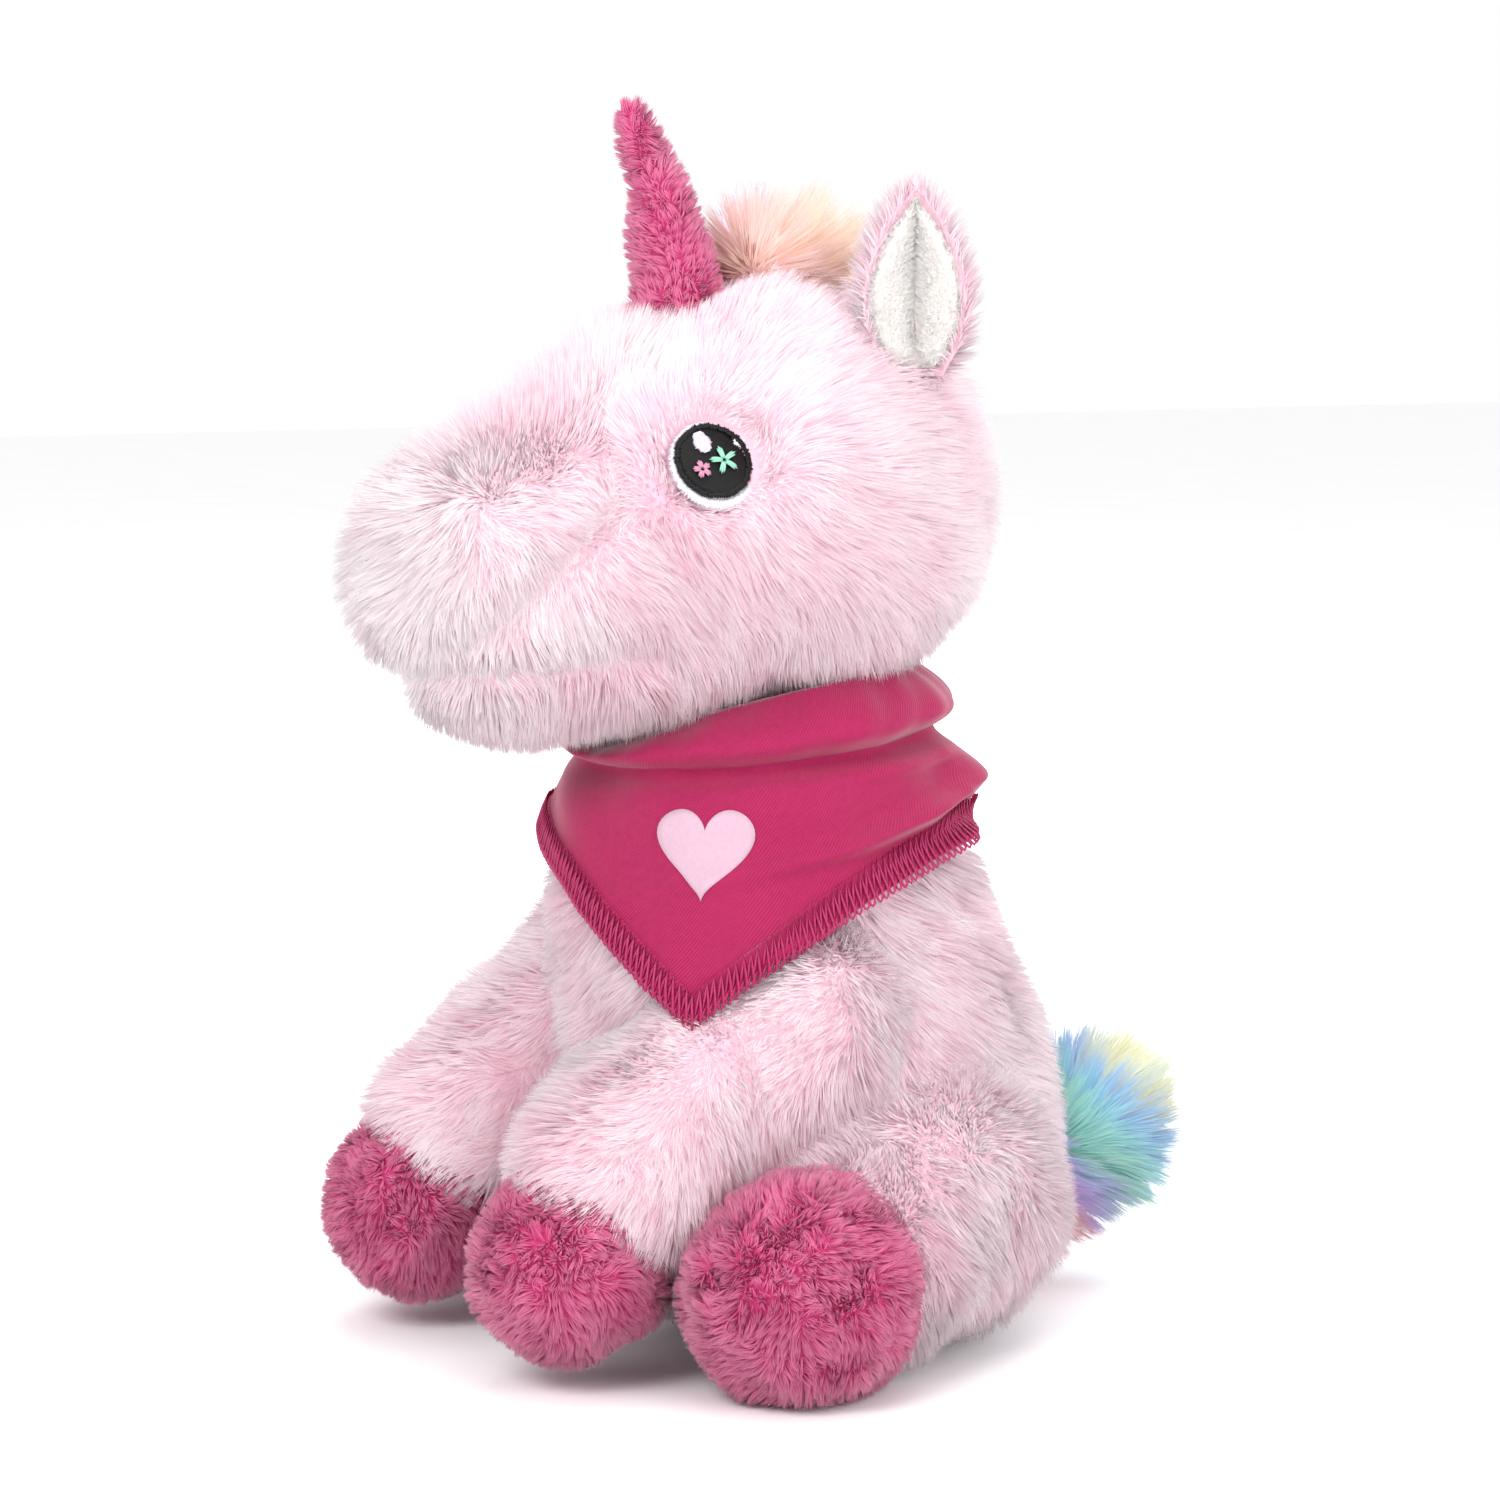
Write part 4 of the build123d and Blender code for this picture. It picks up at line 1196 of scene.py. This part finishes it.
@dataclass
class Ear:
    """A leaf-shaped ear, cupped towards its velour lining, which is pinched along its middle."""

    side: int
    cup: float = 5.0
    rim: float = 1.8

    @property
    def word(self) -> str:
        """The ear's body in the CAD frame."""
        return "ear_left" if self.side > 0 else "ear_right"

    def place(self, x: np.ndarray, y: np.ndarray, out: np.ndarray) -> np.ndarray:
        """Points of the ear, x across it, y up it, out towards its lining."""
        turn = radians(EAR_FACING)
        out_way = np.array((cos(turn), sin(turn), 0))
        width_way = np.array((-sin(turn), cos(turn), 0))
        points = EAR_ROOT + x[:, None] * width_way + y[:, None] * UP + out[:, None] * out_way
        return points * np.array((self.side, 1, 1))

    @staticmethod
    def half_width(share: np.ndarray) -> np.ndarray:
        """Half the ear's width at a share of its height."""
        leaf = np.sin(pi * np.clip(0.13 + 0.87 * share, 0, 1) ** 0.95) ** 0.75
        return (EAR_WIDTH / 2) * np.maximum(leaf, 0.02)

    def leaf(self, name: str, shrink: float, surface: Callable, back: Callable, finish: Enum):
        """Make a closed leaf between a front and a back surface.

        Args:
            name: The object's name.
            shrink: Millimetres that the outline is drawn in by.
            surface: Out distance of the front for (across, share) arrays.
            back: Out distance of the back.
            finish: Its finish.

        Returns:
            The object.
        """
        bm = bmesh.new()
        bmesh.ops.create_uvsphere(bm, u_segments=44, v_segments=24, radius=1)
        places = np.array([v.co for v in bm.verts])
        front = places[:, 1] < 0
        share = (places[:, 2] + 1) / 2
        girth = np.sqrt(np.maximum(1 - places[:, 2] ** 2, 1e-9))
        u = places[:, 0] / girth
        x = u * np.maximum(self.half_width(share) - shrink, 0.3)
        y = shrink + share * (EAR_HEIGHT - 2 * shrink)
        depth = np.sqrt(np.clip(1 - u**2, 0, 1)) ** 0.5 * np.minimum(1, girth * 1.6)
        middle = (surface(u, share) + back(u, share)) / 2
        half = (surface(u, share) - back(u, share)) / 2
        out = middle + np.where(front, 1, -1) * half * depth
        for vertex, point in zip(bm.verts, self.place(x, y, out)):
            vertex.co = point
        face_outwards(bm)
        return make_object(name, bm, finish, self.word)

    def build(self) -> None:
        """Make the outer leaf with its pile, and the lining with its nap."""
        cup = lambda u, share: self.cup * (np.abs(u) ** 2.2 - 0.35) * np.sin(pi * share * 0.8 + 0.3)
        outer = self.leaf(
            f"{self.word}_plush_skin", 0.0,
            lambda u, share: cup(u, share) + 1.0, lambda u, share: cup(u, share) - 4.0, Finish.PINK_BACKING,
        )
        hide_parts(f"{self.word}_outer")
        slit = lambda u: 1.8 * np.exp(-((u / 0.15) ** 2))
        lobes = lambda u: 3.2 * np.sin(pi * np.clip(np.abs(u), 0, 1)) ** 0.6 - slit(u)
        lining = self.leaf(
            f"{self.word}_velour", self.rim,
            lambda u, share: cup(u, share) + 1.6 + lobes(u) * np.sin(pi * np.clip(share, 0, 1)) ** 0.4,
            lambda u, share: cup(u, share) - 0.5, Finish.VELOUR_BACKING,
        )
        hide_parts(f"{self.word}_lining")
        coat = Coat(
            LONG_PILE, Finish.PINK_PILE, combed((0, 0.1, 1)), grows=self.grows_outside,
            trim=lambda points: np.full(len(points), 0.72), seed=41,
            band=lambda points: 0.3 + 0.2 * waves(points, 20, 3),
        )
        coat.grow(f"{self.word}_pile", Skin.of(outer), self.word)
        nap = Coat(NAP, Finish.VELOUR_NAP, combed((0, 0, 1)), seed=42)
        nap.grow(f"{self.word}_nap", Skin.of(lining), self.word)

    def grows_outside(self, points: np.ndarray) -> np.ndarray:
        """Behind the lining and round the rim, not on the hollow itself."""
        local = points * np.array((self.side, 1, 1)) - EAR_ROOT
        turn = radians(EAR_FACING)
        out = local @ np.array((cos(turn), sin(turn), 0))
        x = local @ np.array((-sin(turn), cos(turn), 0))
        share = local[:, 2] / EAR_HEIGHT
        u = np.abs(x) / np.maximum(self.half_width(share), 1)
        cup = self.cup * (u**2.2 - 0.35) * np.sin(pi * share * 0.8 + 0.3)
        front = out > cup - 0.8
        return (~front | (u > 0.8) | (share > 0.92)) & (HEAD.distance(points) > -2)


@dataclass
class Mane:
    """The space-dyed mane: a crest down the back of the head and a forelock behind the horn."""

    start: float = 70.0
    arc: float = 88.0
    forelock: float = 27.0

    def ridge(self, name: str, high: float, low: float, depth: float, node: str):
        """Make one padded ridge from a high angle down to a low one, above straight back."""
        centre = np.array(HEAD.start, float)
        bm = bmesh.new()
        steps = max(4, int((high - low) / 4))
        bmesh.ops.create_grid(bm, x_segments=steps, y_segments=8, size=1)
        places = np.array([v.co for v in bm.verts])
        turn = np.radians(low + (high - low) * (places[:, 0] + 1) / 2)
        swell = np.sqrt(np.clip(1 - np.abs(places[:, 1]) ** 2.5, 0, 1))
        swell *= np.clip((1 - np.abs(places[:, 0])) * 5, 0, 1) ** 0.5
        radius = HEAD.start_radius - 1.5 + (depth + 1.0) * swell
        points = np.stack(
            (places[:, 1] * MANE_WIDTH / 2, radius * np.cos(turn), radius * np.sin(turn)), axis=1
        ) + centre
        for vertex, point in zip(bm.verts, points):
            vertex.co = point
        rim = [edge for edge in bm.edges if edge.is_boundary]
        bmesh.ops.holes_fill(bm, edges=rim)
        bmesh.ops.triangulate(bm, faces=[face for face in bm.faces if len(face.verts) > 4])
        face_outwards(bm)
        return make_skin(name, bm, Finish.MANE_BACKING, "head", 0.7, "plush_rainbow", node)

    def angle(self, points: np.ndarray) -> np.ndarray:
        """Degrees above straight back, about the middle of the head."""
        local = points - np.array(HEAD.start)
        return np.degrees(np.arctan2(local[:, 2], local[:, 1]))

    def band(self, points: np.ndarray) -> np.ndarray:
        """Where each point lies in the dye's run, from the forelock to the nape."""
        top, low = self.start + self.forelock, self.start - self.arc
        share = (top - self.angle(points)) / (top - low)
        return share + 0.10 * waves(points, 9, 12)

    def build(self) -> None:
        """Make both ridges with their shaggy pile."""
        clear = lambda points: (HORN.distance(points) > -1) & (HEAD.distance(points) > -0.3)
        long = lambda points: np.full(len(points), 0.95)
        falling = lambda points: 0.45 + 0.35 * np.clip((40 - self.angle(points)) / 50, 0, 1)
        high, low = self.start + self.forelock, self.start - self.arc
        forelock = self.ridge("mane_forelock_skin", high, self.start + 0.5, 9, "mane_forelock")
        crest = self.ridge("mane_crest_skin", self.start, low, 4.5, "mane_crest")
        for name, ridge, way, trim, seed in (
            ("forelock", forelock, (0, 0.5, 0.2), long, 51), ("crest", crest, (0, 0.2, -1), falling, 52),
        ):
            coat = Coat(SHAGGY_PILE, Finish.MANE_PILE, combed(way), clear, trim, self.band, seed)
            coat.grow(f"mane_{name}_pile", Skin.of(ridge), "head")


# ---------------------------------------------------------------- legs and tail
@dataclass
class Leg:
    """A leg with a pale sleeve and a hot pink hoof."""

    word: str
    sleeve: Pad
    hoof: Pad
    cuff: float
    swell: float
    seed: int

    def build(self) -> None:
        """Make the sleeve and the hoof, each with its pile and filling."""
        axis, start = self.sleeve.axis, np.array(self.sleeve.start, float)
        edge = start + axis * self.cuff
        bm = self.sleeve.grown(self.swell).spin(2.3)
        move_vertices(bm, lumpy(0.9, 24, self.seed))
        skin = make_skin(
            f"{self.word}_plush_skin", bm, Finish.PINK_BACKING, self.word, 0.8, "plush_pink",
            f"{self.word}_skin",
        )
        down = axis + np.array((0, 0, -0.5))
        Coat(
            LONG_PILE, Finish.PINK_PILE, combed(tuple(down)),
            grows=self.sleeve_grows, trim=self.sleeve_trim,
            band=lambda points: 0.25 + 0.25 * waves(points, 34, 13), seed=self.seed,
        ).grow(f"{self.word}_pile", Skin.of(skin), self.word)
        make_filling(f"{self.word}_stuffing", self.sleeve.grown(-3.5), self.word,
                     lambda bm: bisect(bm, edge - axis * 0.6, axis))

        bm = self.hoof.grown(1.4).spin(1.8)
        move_vertices(bm, lumpy(0.7, 11, self.seed + 1))
        hoof = make_skin(
            f"{self.word}_hoof_plush_skin", bm, Finish.HOT_BACKING, self.word, 0.85, "plush_hot_pink",
            f"{self.word}_hoof_skin",
        )
        Coat(
            SHORT_PILE, Finish.HOT_PILE, self.swirl,
            grows=lambda points: (self.sleeve.distance(points) > self.swell - 0.8) & (points[:, 2] > 1.2),
            seed=self.seed + 2,
        ).grow(f"{self.word}_hoof_pile", Skin.of(hoof), self.word)
        make_filling(f"{self.word}_hoof_stuffing", self.hoof.grown(-3.5), self.word,
                     lambda bm: bisect(bm, edge + axis * 0.6, -axis))

    def sleeve_grows(self, points: np.ndarray) -> np.ndarray:
        """Outside the torso, short of the cuff and off the floor."""
        shown = (TORSO.distance(points) > -7) & (points[:, 2] > 1.6)
        return shown & (self.hoof.distance(points) > 0.8)

    def sleeve_trim(self, points: np.ndarray) -> np.ndarray:
        """Shorter where it rubs against the torso and at the cuff."""
        rub = np.clip(0.8 + TORSO.distance(points) / 20, 0.6, 1)
        hem_tip = np.array((36.0, -46.0, 68.0))
        pressed = np.clip(np.linalg.norm(points - hem_tip, axis=1) / 26, 0.35, 1)
        return rub * pressed * np.clip(0.55 + self.hoof.distance(points) / 14, 0.55, 1)

    def swirl(self, points: np.ndarray, normals: np.ndarray) -> np.ndarray:
        """The short pile turns in whorls over the hoof."""
        out = points - np.array(self.hoof.start)
        return np.cross(out, self.sleeve.axis) + self.sleeve.axis * 6 + wander(points, 14, 71) * 14


@dataclass
class Tail:
    """The rainbow tail."""

    def build(self) -> None:
        """Make the skin, the pile in bands, and the filling."""
        bm = TAIL.grown(-0.5).spin(2.0)
        move_vertices(bm, lumpy(0.6, 16, 14))
        skin = make_skin(
            "tail_plush_skin", bm, Finish.MANE_BACKING, "tail", 0.7, "plush_rainbow", "tail_skin"
        )
        Coat(
            TAIL_PILE, Finish.TAIL_PILE, self.comb,
            grows=lambda points: TORSO.distance(points) > -5, band=self.band, seed=61,
        ).grow("tail_pile", Skin.of(skin), "tail")
        make_filling("tail_stuffing", TAIL.grown(-2.8), "tail")

    @staticmethod
    def comb(points: np.ndarray, normals: np.ndarray) -> np.ndarray:
        """Outwards from the root and a little up."""
        return np.broadcast_to(TAIL.axis + UP * 0.25, points.shape)

    @staticmethod
    def band(points: np.ndarray) -> np.ndarray:
        """The printed bands follow the tail from its root outwards and up."""
        way = unit(np.array((0.15, 0.75, 0.62)))
        place = (points - np.array(TAIL.start)) @ way
        return (place + 9) / 41 + 0.035 * waves(points, 8, 15)


# ---------------------------------------------------------------- bandana
@dataclass
class Bandana:
    """A cotton bandana: a folded collar under the jaw and a pointed panel on the chest."""

    turn: float = -45.0  # degrees; where the point hangs, measured from +X
    point: float = 68.0
    side: float = 101.0
    half_width: float = 42.5
    hem: float = 4.6
    hem_reach: float = 168.0  # degrees either way from the point
    columns: int = 288
    rows: int = 90
    corner: float = 100.0  # degrees from the point to the side corner that the folds run from
    per_degree: float = 0.72  # millimetres of cloth to one degree of the panel
    heart_size: float = 9.5
    heart_height: float = 100.5

    # heights of the collar's top edge and of the tuck below it, by angle from the point
    TOPS = (
        (-180, 131), (-125, 128), (-78, 121), (-48, 117.5), (0, 126), (45, 131.5), (100, 133), (180, 131)
    )
    FOLDS = (
        (-180, 118), (-110, 116), (-76, 115.5), (-45, 113.5), (0, 114.5), (45, 117.5), (95, 121), (180, 118)
    )

    @staticmethod
    def follow(table: tuple[tuple[float, float], ...], turn: np.ndarray) -> np.ndarray:
        """A height read smoothly from a table of angles and heights."""
        angles, heights = (np.array(column, float) for column in zip(*table))
        total = np.zeros_like(turn)
        for shift in (-12, -6, 0, 6, 12):
            wrapped = (turn + shift + 180) % 360 - 180
            total += np.interp(wrapped, angles, heights)
        return total / 5

    @staticmethod
    def cover(points: np.ndarray) -> np.ndarray:
        """Whether each point of the torso lies behind the cloth."""
        shape = Bandana()
        x, y = points[:, 0], points[:, 1] - NECK_AXIS_Y
        turn = np.degrees(np.arctan2(y, x)) - shape.turn
        return points[:, 2] > shape.low(turn) - 5.0

    def radius(self, height: np.ndarray) -> np.ndarray:
        """The cloth's distance from the neck's axis at a height, before its folds."""
        return np.interp(height, (60, 68, 84, 100, 109, 118), (53.6, 51.9, 47.2, 41.4, 38.6, 37.6))

    def low(self, turn: np.ndarray) -> np.ndarray:
        """The hem's height at each angle from the point, in degrees."""
        turn = (np.asarray(turn, float) + 180) % 360 - 180
        height = np.full(turn.shape, 85.0)
        for _ in range(6):
            out = self.radius(height) * np.sin(np.radians(np.minimum(np.abs(turn), 90)))
            height = self.point + (self.side - self.point) * np.minimum(out / self.half_width, 1)
        drop = 1.2 * np.exp(-((np.abs(turn) - 62) / 16) ** 2)
        return height - drop

    def surface(self, turn: np.ndarray, height: np.ndarray, lift: np.ndarray | float = 0.0) -> np.ndarray:
        """Points of the cloth.

        Args:
            turn: Degrees from the point, to the toy's left.
            height: Height in millimetres.
            lift: Distance out of the cloth's middle.

        Returns:
            The points.
        """
        wrapped = (turn + 180) % 360 - 180
        fold = self.follow(self.FOLDS, wrapped)
        top = self.follow(self.TOPS, wrapped)
        radius = self.radius(height)
        above = np.clip((height - fold) / np.maximum(top - fold, 1), 0, 1)
        radius = radius + np.where(height > fold, 3.4 * np.sin(pi * above**0.8) - 7.0 * above**1.7, 0)
        tuck = 2.2 + 1.2 * np.cos(np.radians(wrapped - 30))
        radius = radius - tuck * np.exp(-(((height - fold + 0.6) / 3.0) ** 2))
        panel = np.exp(-(((height - fold + 8) / 6.0) ** 2)) * np.exp(-((wrapped / 95) ** 2))
        radius = radius + 2.0 * panel
        # the cloth is gathered to a corner at the side, from which folds run down the panel
        gathered = np.exp(-(((wrapped - self.corner) / 15) ** 2))
        radius = radius + 6.5 * gathered * np.exp(-(((height - 110) / 5.0) ** 2))
        across_panel = (self.corner - wrapped) * self.per_degree
        reach = np.clip(across_panel / 12, 0, 1) * np.exp(-(np.maximum(across_panel, 0) / 58) ** 2)
        for offset, slope, size, width in (
            (0, 0.24, 5.0, 2.2), (-8, 0.36, 4.2, 2.4), (-16, 0.58, 2.6, 3.2), (6, 0.08, 2.4, 1.7),
        ):
            line = height - (111 + offset - slope * across_panel)
            radius = radius + size * reach * np.exp(-((line / width) ** 2))
        # soft waves, and a flare near the hem
        radius = radius + 0.8 * np.sin(np.radians(wrapped * 3 + 40)) * np.clip((118 - height) / 30, 0, 1)
        radius = radius + 0.9 * np.exp(-((height - self.low(wrapped)) / 5.0) ** 2)
        radius = radius + 0.5 * np.sin(np.radians(wrapped) * 9 + height * 0.21)
        radius = radius + 0.35 * np.sin(np.radians(wrapped) * 23 - height * 0.34) * above**0.5
        radius = radius + lift
        way = np.radians(wrapped + self.turn)
        return np.stack((radius * np.cos(way), radius * np.sin(way) + NECK_AXIS_Y, height), axis=-1)

    def build(self) -> None:
        """Make the cloth, its hem and stitching, the print, the knot and the tails."""
        cloth = self.build_cloth()
        hem = self.build_hem()
        threads = self.build_stitching()
        heart = self.build_print()
        knot, tails = self.build_knot()

    def cloth_grid(self, name: str, turns: np.ndarray, heights: np.ndarray, lift: float, finish: Enum,
                   thickness: float, closed: bool) -> bpy.types.Object:
        """Make a sheet from a grid of angles and heights, with a UV map in metres of cloth."""
        rows, columns = turns.shape
        points = self.surface(turns, heights, lift)
        steps = np.linalg.norm(np.diff(points, axis=0), axis=-1)
        fall = np.concatenate((np.zeros((1, columns)), np.cumsum(steps, axis=0)))
        bm = bmesh.new()
        bmesh.ops.create_grid(bm, x_segments=columns - 1, y_segments=rows - 1, size=0.5)
        bm.verts.ensure_lookup_table()
        layer = bm.loops.layers.uv.new("Cloth")
        for index, vertex in enumerate(bm.verts):
            row, column = divmod(index, columns)
            vertex.co = points[row, column]
        for face in bm.faces:
            for loop in face.loops:
                row, column = divmod(loop.vert.index, columns)
                loop[layer].uv = (turns[row, column] * self.per_degree * MM, -fall[row, column] * MM)
        if closed:
            bmesh.ops.remove_doubles(bm, verts=bm.verts, dist=0.02)
        bmesh.ops.recalc_face_normals(bm, faces=bm.faces)
        middle = bm.faces[len(bm.faces) // 2]
        outwards = middle.calc_center_median() - Vector((0, NECK_AXIS_Y, middle.calc_center_median().z))
        if middle.normal.dot(outwards) < 0:
            bmesh.ops.reverse_faces(bm, faces=bm.faces)
        thing = make_object(name, bm, finish, "bandana")
        thicken(thing, "cloth thickness", thickness)
        return thing

    def build_cloth(self) -> bpy.types.Object:
        """Make the cloth from its collar to just behind the hem."""
        turn = np.linspace(-180, 180, self.columns + 1)
        top = self.follow(self.TOPS, turn)
        low = self.low(turn) + 0.3
        share = np.linspace(0, 1, self.rows)[:, None]
        heights = top + (low - top) * share
        turns = np.broadcast_to(turn, heights.shape)
        cloth = self.cloth_grid("bandana_twill", turns, heights, 0.0, Finish.BANDANA, 0.6, True)
        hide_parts("bandana_cloth")
        return cloth

    def build_hem(self) -> bpy.types.Object:
        """Make the folded edge as a second layer on the cloth."""
        turn = np.linspace(-self.hem_reach, self.hem_reach, 300)
        low = self.low(turn)
        slope = np.gradient(low, self.radius(low) * np.radians(turn))
        tall = self.hem * np.sqrt(1 + slope**2)
        share = np.linspace(1, 0, 10)[:, None]
        heights = low + tall * share
        turns = np.broadcast_to(turn, heights.shape)
        hem = self.cloth_grid("bandana_folded_hem", turns, heights, 0.5, Finish.BANDANA, 1.3, False)
        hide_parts("bandana_hem")
        return hem

    def build_stitching(self) -> bpy.types.Object:
        """Lay the overlock: a zigzag over the hem with a loop round the edge at every stitch."""
        fine = np.linspace(-self.hem_reach, self.hem_reach, 6000)
        low = self.low(fine)
        edge = self.surface(fine, low)
        run = np.concatenate(([0], np.cumsum(np.linalg.norm(np.diff(edge, axis=0), axis=1))))
        pitch = 1.75
        starts = np.arange(0.5, run[-1] - pitch, pitch)
        rng = np.random.default_rng(81)
        shape = (
            (0.0, 0.0, 0.75), (0.30, 0.55, 1.05), (0.52, 0.95, 1.0), (0.72, 0.5, 1.1), (0.95, 0.06, 1.0),
            (0.85, -0.16, 0.3), (0.55, -0.24, -0.2), (0.3, -0.16, 0.1), (0.12, 0.02, 0.8), (0.5, 0.2, 1.15),
        )
        paths = []
        for start in starts:
            wobble = rng.uniform(-0.12, 0.12, 2)
            path = []
            for forward, up, lift in shape:
                place = start + (forward + wobble[0]) * pitch
                turn = np.interp(place, run, fine)
                height = np.interp(turn, fine, low) + up * self.hem * (1.25 + wobble[1] * 0.5)
                path.append(self.surface(np.array([turn]), np.array([height]), lift)[0])
            paths.append(path)
        centre = np.array((0, NECK_AXIS_Y, 0))
        paths = np.array(paths)
        ups = unit((paths - centre) * np.array((1, 1, 0)))
        threads = thread_object("bandana_overlock", paths, ups, 0.55, 0.45, Finish.HEM_THREAD, "bandana")
        return threads

    def build_print(self) -> bpy.types.Object:
        """Print a plain heart on the panel."""
        corners, height = 72, self.heart_height
        t = np.linspace(0, 2 * pi, corners, endpoint=False)
        x = self.heart_size * np.sin(t) ** 3
        z = self.heart_size / 16 * (13 * np.cos(t) - 5 * np.cos(2 * t) - 2 * np.cos(3 * t) - np.cos(4 * t))
        bm = bmesh.new()
        bmesh.ops.create_circle(bm, segments=corners, radius=1)
        outline = list(bm.verts)
        rings = [(outline, 1.0)]
        for share in (0.86, 0.7, 0.54, 0.38, 0.2):
            ring = [bm.verts.new(v.co * share) for v in outline]
            before = rings[-1][0]
            for k in range(corners):
                after = (k + 1) % corners
                bm.faces.new((before[k], before[after], ring[after], ring[k]))
            rings.append((ring, share))
        bm.faces.new(rings[-1][0])
        for ring, share in rings:
            for k, vertex in enumerate(ring):
                wide = degrees(x[k] * share / float(self.radius(np.array(height))))
                place = self.surface(np.array([wide]), np.array([height + z[k] * share]), 0.25)
                vertex.co = place[0]
        bmesh.ops.recalc_face_normals(bm, faces=bm.faces)
        if next(iter(bm.faces)).normal.dot(Vector((1, -1, 0))) < 0:
            bmesh.ops.reverse_faces(bm, faces=bm.faces)
        heart = make_object("bandana_heart_print", bm, Finish.PRINT, "bandana")
        thicken(heart, "ink thickness", 0.3)
        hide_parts("bandana_print")
        return heart

    def build_knot(self) -> tuple[bpy.types.Object, bpy.types.Object]:
        """Make the knot at the back and the two short ends below it."""
        way = np.array((cos(radians(self.turn + 180)), sin(radians(self.turn + 180)), 0))
        width = np.array((-way[1], way[0], 0))
        centre = np.array((0, NECK_AXIS_Y, 111.0)) + way * 44.0
        knot_pad = Pad(tuple(centre - width * 3.5), tuple(centre + width * 3.5), 5, 4.5)
        bm = knot_pad.spin(0.9)
        spiral = lambda points: np.sin((points - centre) @ width * 0.9 + (points - centre) @ UP * 0.6)
        move_vertices(bm, lambda points, normals: points + normals * (0.4 * spiral(points))[:, None])
        layer = bm.loops.layers.uv.new("Cloth")
        for face in bm.faces:
            for loop in face.loops:
                local = np.array(loop.vert.co) - centre
                loop[layer].uv = (local @ width * MM, atan2(local[2], local @ way) * 5 * MM)
        knot = make_skin(
            "bandana_tied_knot", bm, Finish.BANDANA, "bandana", 0.5, "cotton_magenta", "bandana_knot"
        )

        bm = bmesh.new()
        layer = bm.loops.layers.uv.new("Cloth")
        for side in (-1, 1):
            made = bmesh.ops.create_grid(bm, x_segments=6, y_segments=12, size=0.5)["verts"]
            for vertex in made:
                u, v = vertex.co.x, 0.5 - vertex.co.y
                x = side * (3.7 + 3.2 * v) + u * (4.5 + 6.0 * v)
                drop = 5.2 + v * (13.0 + 5.0 * u * side)
                bulge = 1.6 * sin(pi * v) + 1.2 * u * u + 0.8 * v
                vertex.co = centre + width * x - UP * drop + way * bulge
            for face in {face for vertex in made for face in vertex.link_faces}:
                for loop in face.loops:
                    local = np.array(loop.vert.co) - centre
                    loop[layer].uv = (local @ width * MM, local[2] * MM)
        bmesh.ops.recalc_face_normals(bm, faces=bm.faces)
        tails = make_object("bandana_tied_ends", bm, Finish.BANDANA, "bandana")
        thicken(tails, "cloth thickness", 0.8)
        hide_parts("bandana_tails")
        return knot, tails


# ---------------------------------------------------------------- studio
@dataclass
class Studio:
    """A white sweep, soft lights and the camera."""

    camera_place: tuple[float, float, float] = (0.763, -0.477, 0.215)
    camera_target: tuple[float, float, float] = (-0.005, -0.0085, 0.114)
    lens: float = 108.0

    def build(self) -> None:
        """Set up the floor, the lights and the camera."""
        bm = bmesh.new()
        bmesh.ops.create_grid(bm, x_segments=1, y_segments=1, size=4.0)
        mesh = bpy.data.meshes.new("studio_floor")
        bm.to_mesh(mesh)
        bm.free()
        mesh.materials.append(Finish.BACKDROP.value.material())
        floor = bpy.data.objects.new("studio_floor", mesh)
        bpy.context.scene.collection.objects.link(floor)

        for name, place, size, power in (
            ("key_light", (0.5, -1.1, 1.1), 0.7, 12.0),
            ("fill_light", (1.4, 0.35, 0.75), 1.0, 8.5),
            ("top_light", (-0.2, 0.2, 1.5), 1.0, 6.5),
            ("back_light", (-1.0, 1.0, 0.8), 1.0, 9.0),
        ):
            self.light(name, place, size, power)
        bpy.context.scene.view_settings.view_transform = "Standard"
        world = bpy.data.worlds.new("studio_world")
        bpy.context.scene.world = world
        world.use_nodes = True
        background = world.node_tree.nodes["Background"]
        background.inputs["Color"].default_value = (1.0, 1.0, 1.0, 1.0)
        background.inputs["Strength"].default_value = 1.0

        data = bpy.data.cameras.new("main_camera")
        data.lens = self.lens
        data.sensor_width = 36.0
        camera = bpy.data.objects.new("main_camera", data)
        camera.location = self.camera_place
        way = Vector(self.camera_target) - Vector(self.camera_place)
        camera.rotation_euler = way.to_track_quat("-Z", "Y").to_euler()
        bpy.context.scene.collection.objects.link(camera)
        bpy.context.scene.camera = camera

    @staticmethod
    def light(name: str, place: tuple[float, float, float], size: float, power: float) -> None:
        """Add one square area light that faces the toy."""
        data = bpy.data.lights.new(name, "AREA")
        data.size = size
        data.energy = power
        lamp = bpy.data.objects.new(name, data)
        lamp.location = place
        lamp.rotation_euler = (Vector((0, 0, 0.11)) - Vector(place)).to_track_quat("-Z", "Y").to_euler()
        bpy.context.scene.collection.objects.link(lamp)


def main() -> None:
    """Build every sub-assembly in order; each piece's face count is logged as it is made."""
    logging.basicConfig(level=logging.INFO, format="%(name)s: %(message)s")
    Torso().build()
    Neck().build()
    Head().build()
    EYE_LEFT.build()
    EYE_RIGHT.build()
    Horn().build()
    for side in (1, -1):
        Ear(side).build()
    Mane().build()
    for side, flip in (("left", lambda pad: pad), ("right", Pad.mirrored)):
        seed = 100 if side == "left" else 200
        Leg(f"front_leg_{side}", flip(FRONT_LEG), flip(FRONT_HOOF), FRONT_CUFF, 2.0, seed).build()
        Leg(f"hind_leg_{side}", flip(HIND_LEG), flip(HIND_HOOF), HIND_CUFF, 1.5, seed + 10).build()
    Tail().build()
    Bandana().build()
    Studio().build()


if __name__ == "__main__":
    main()
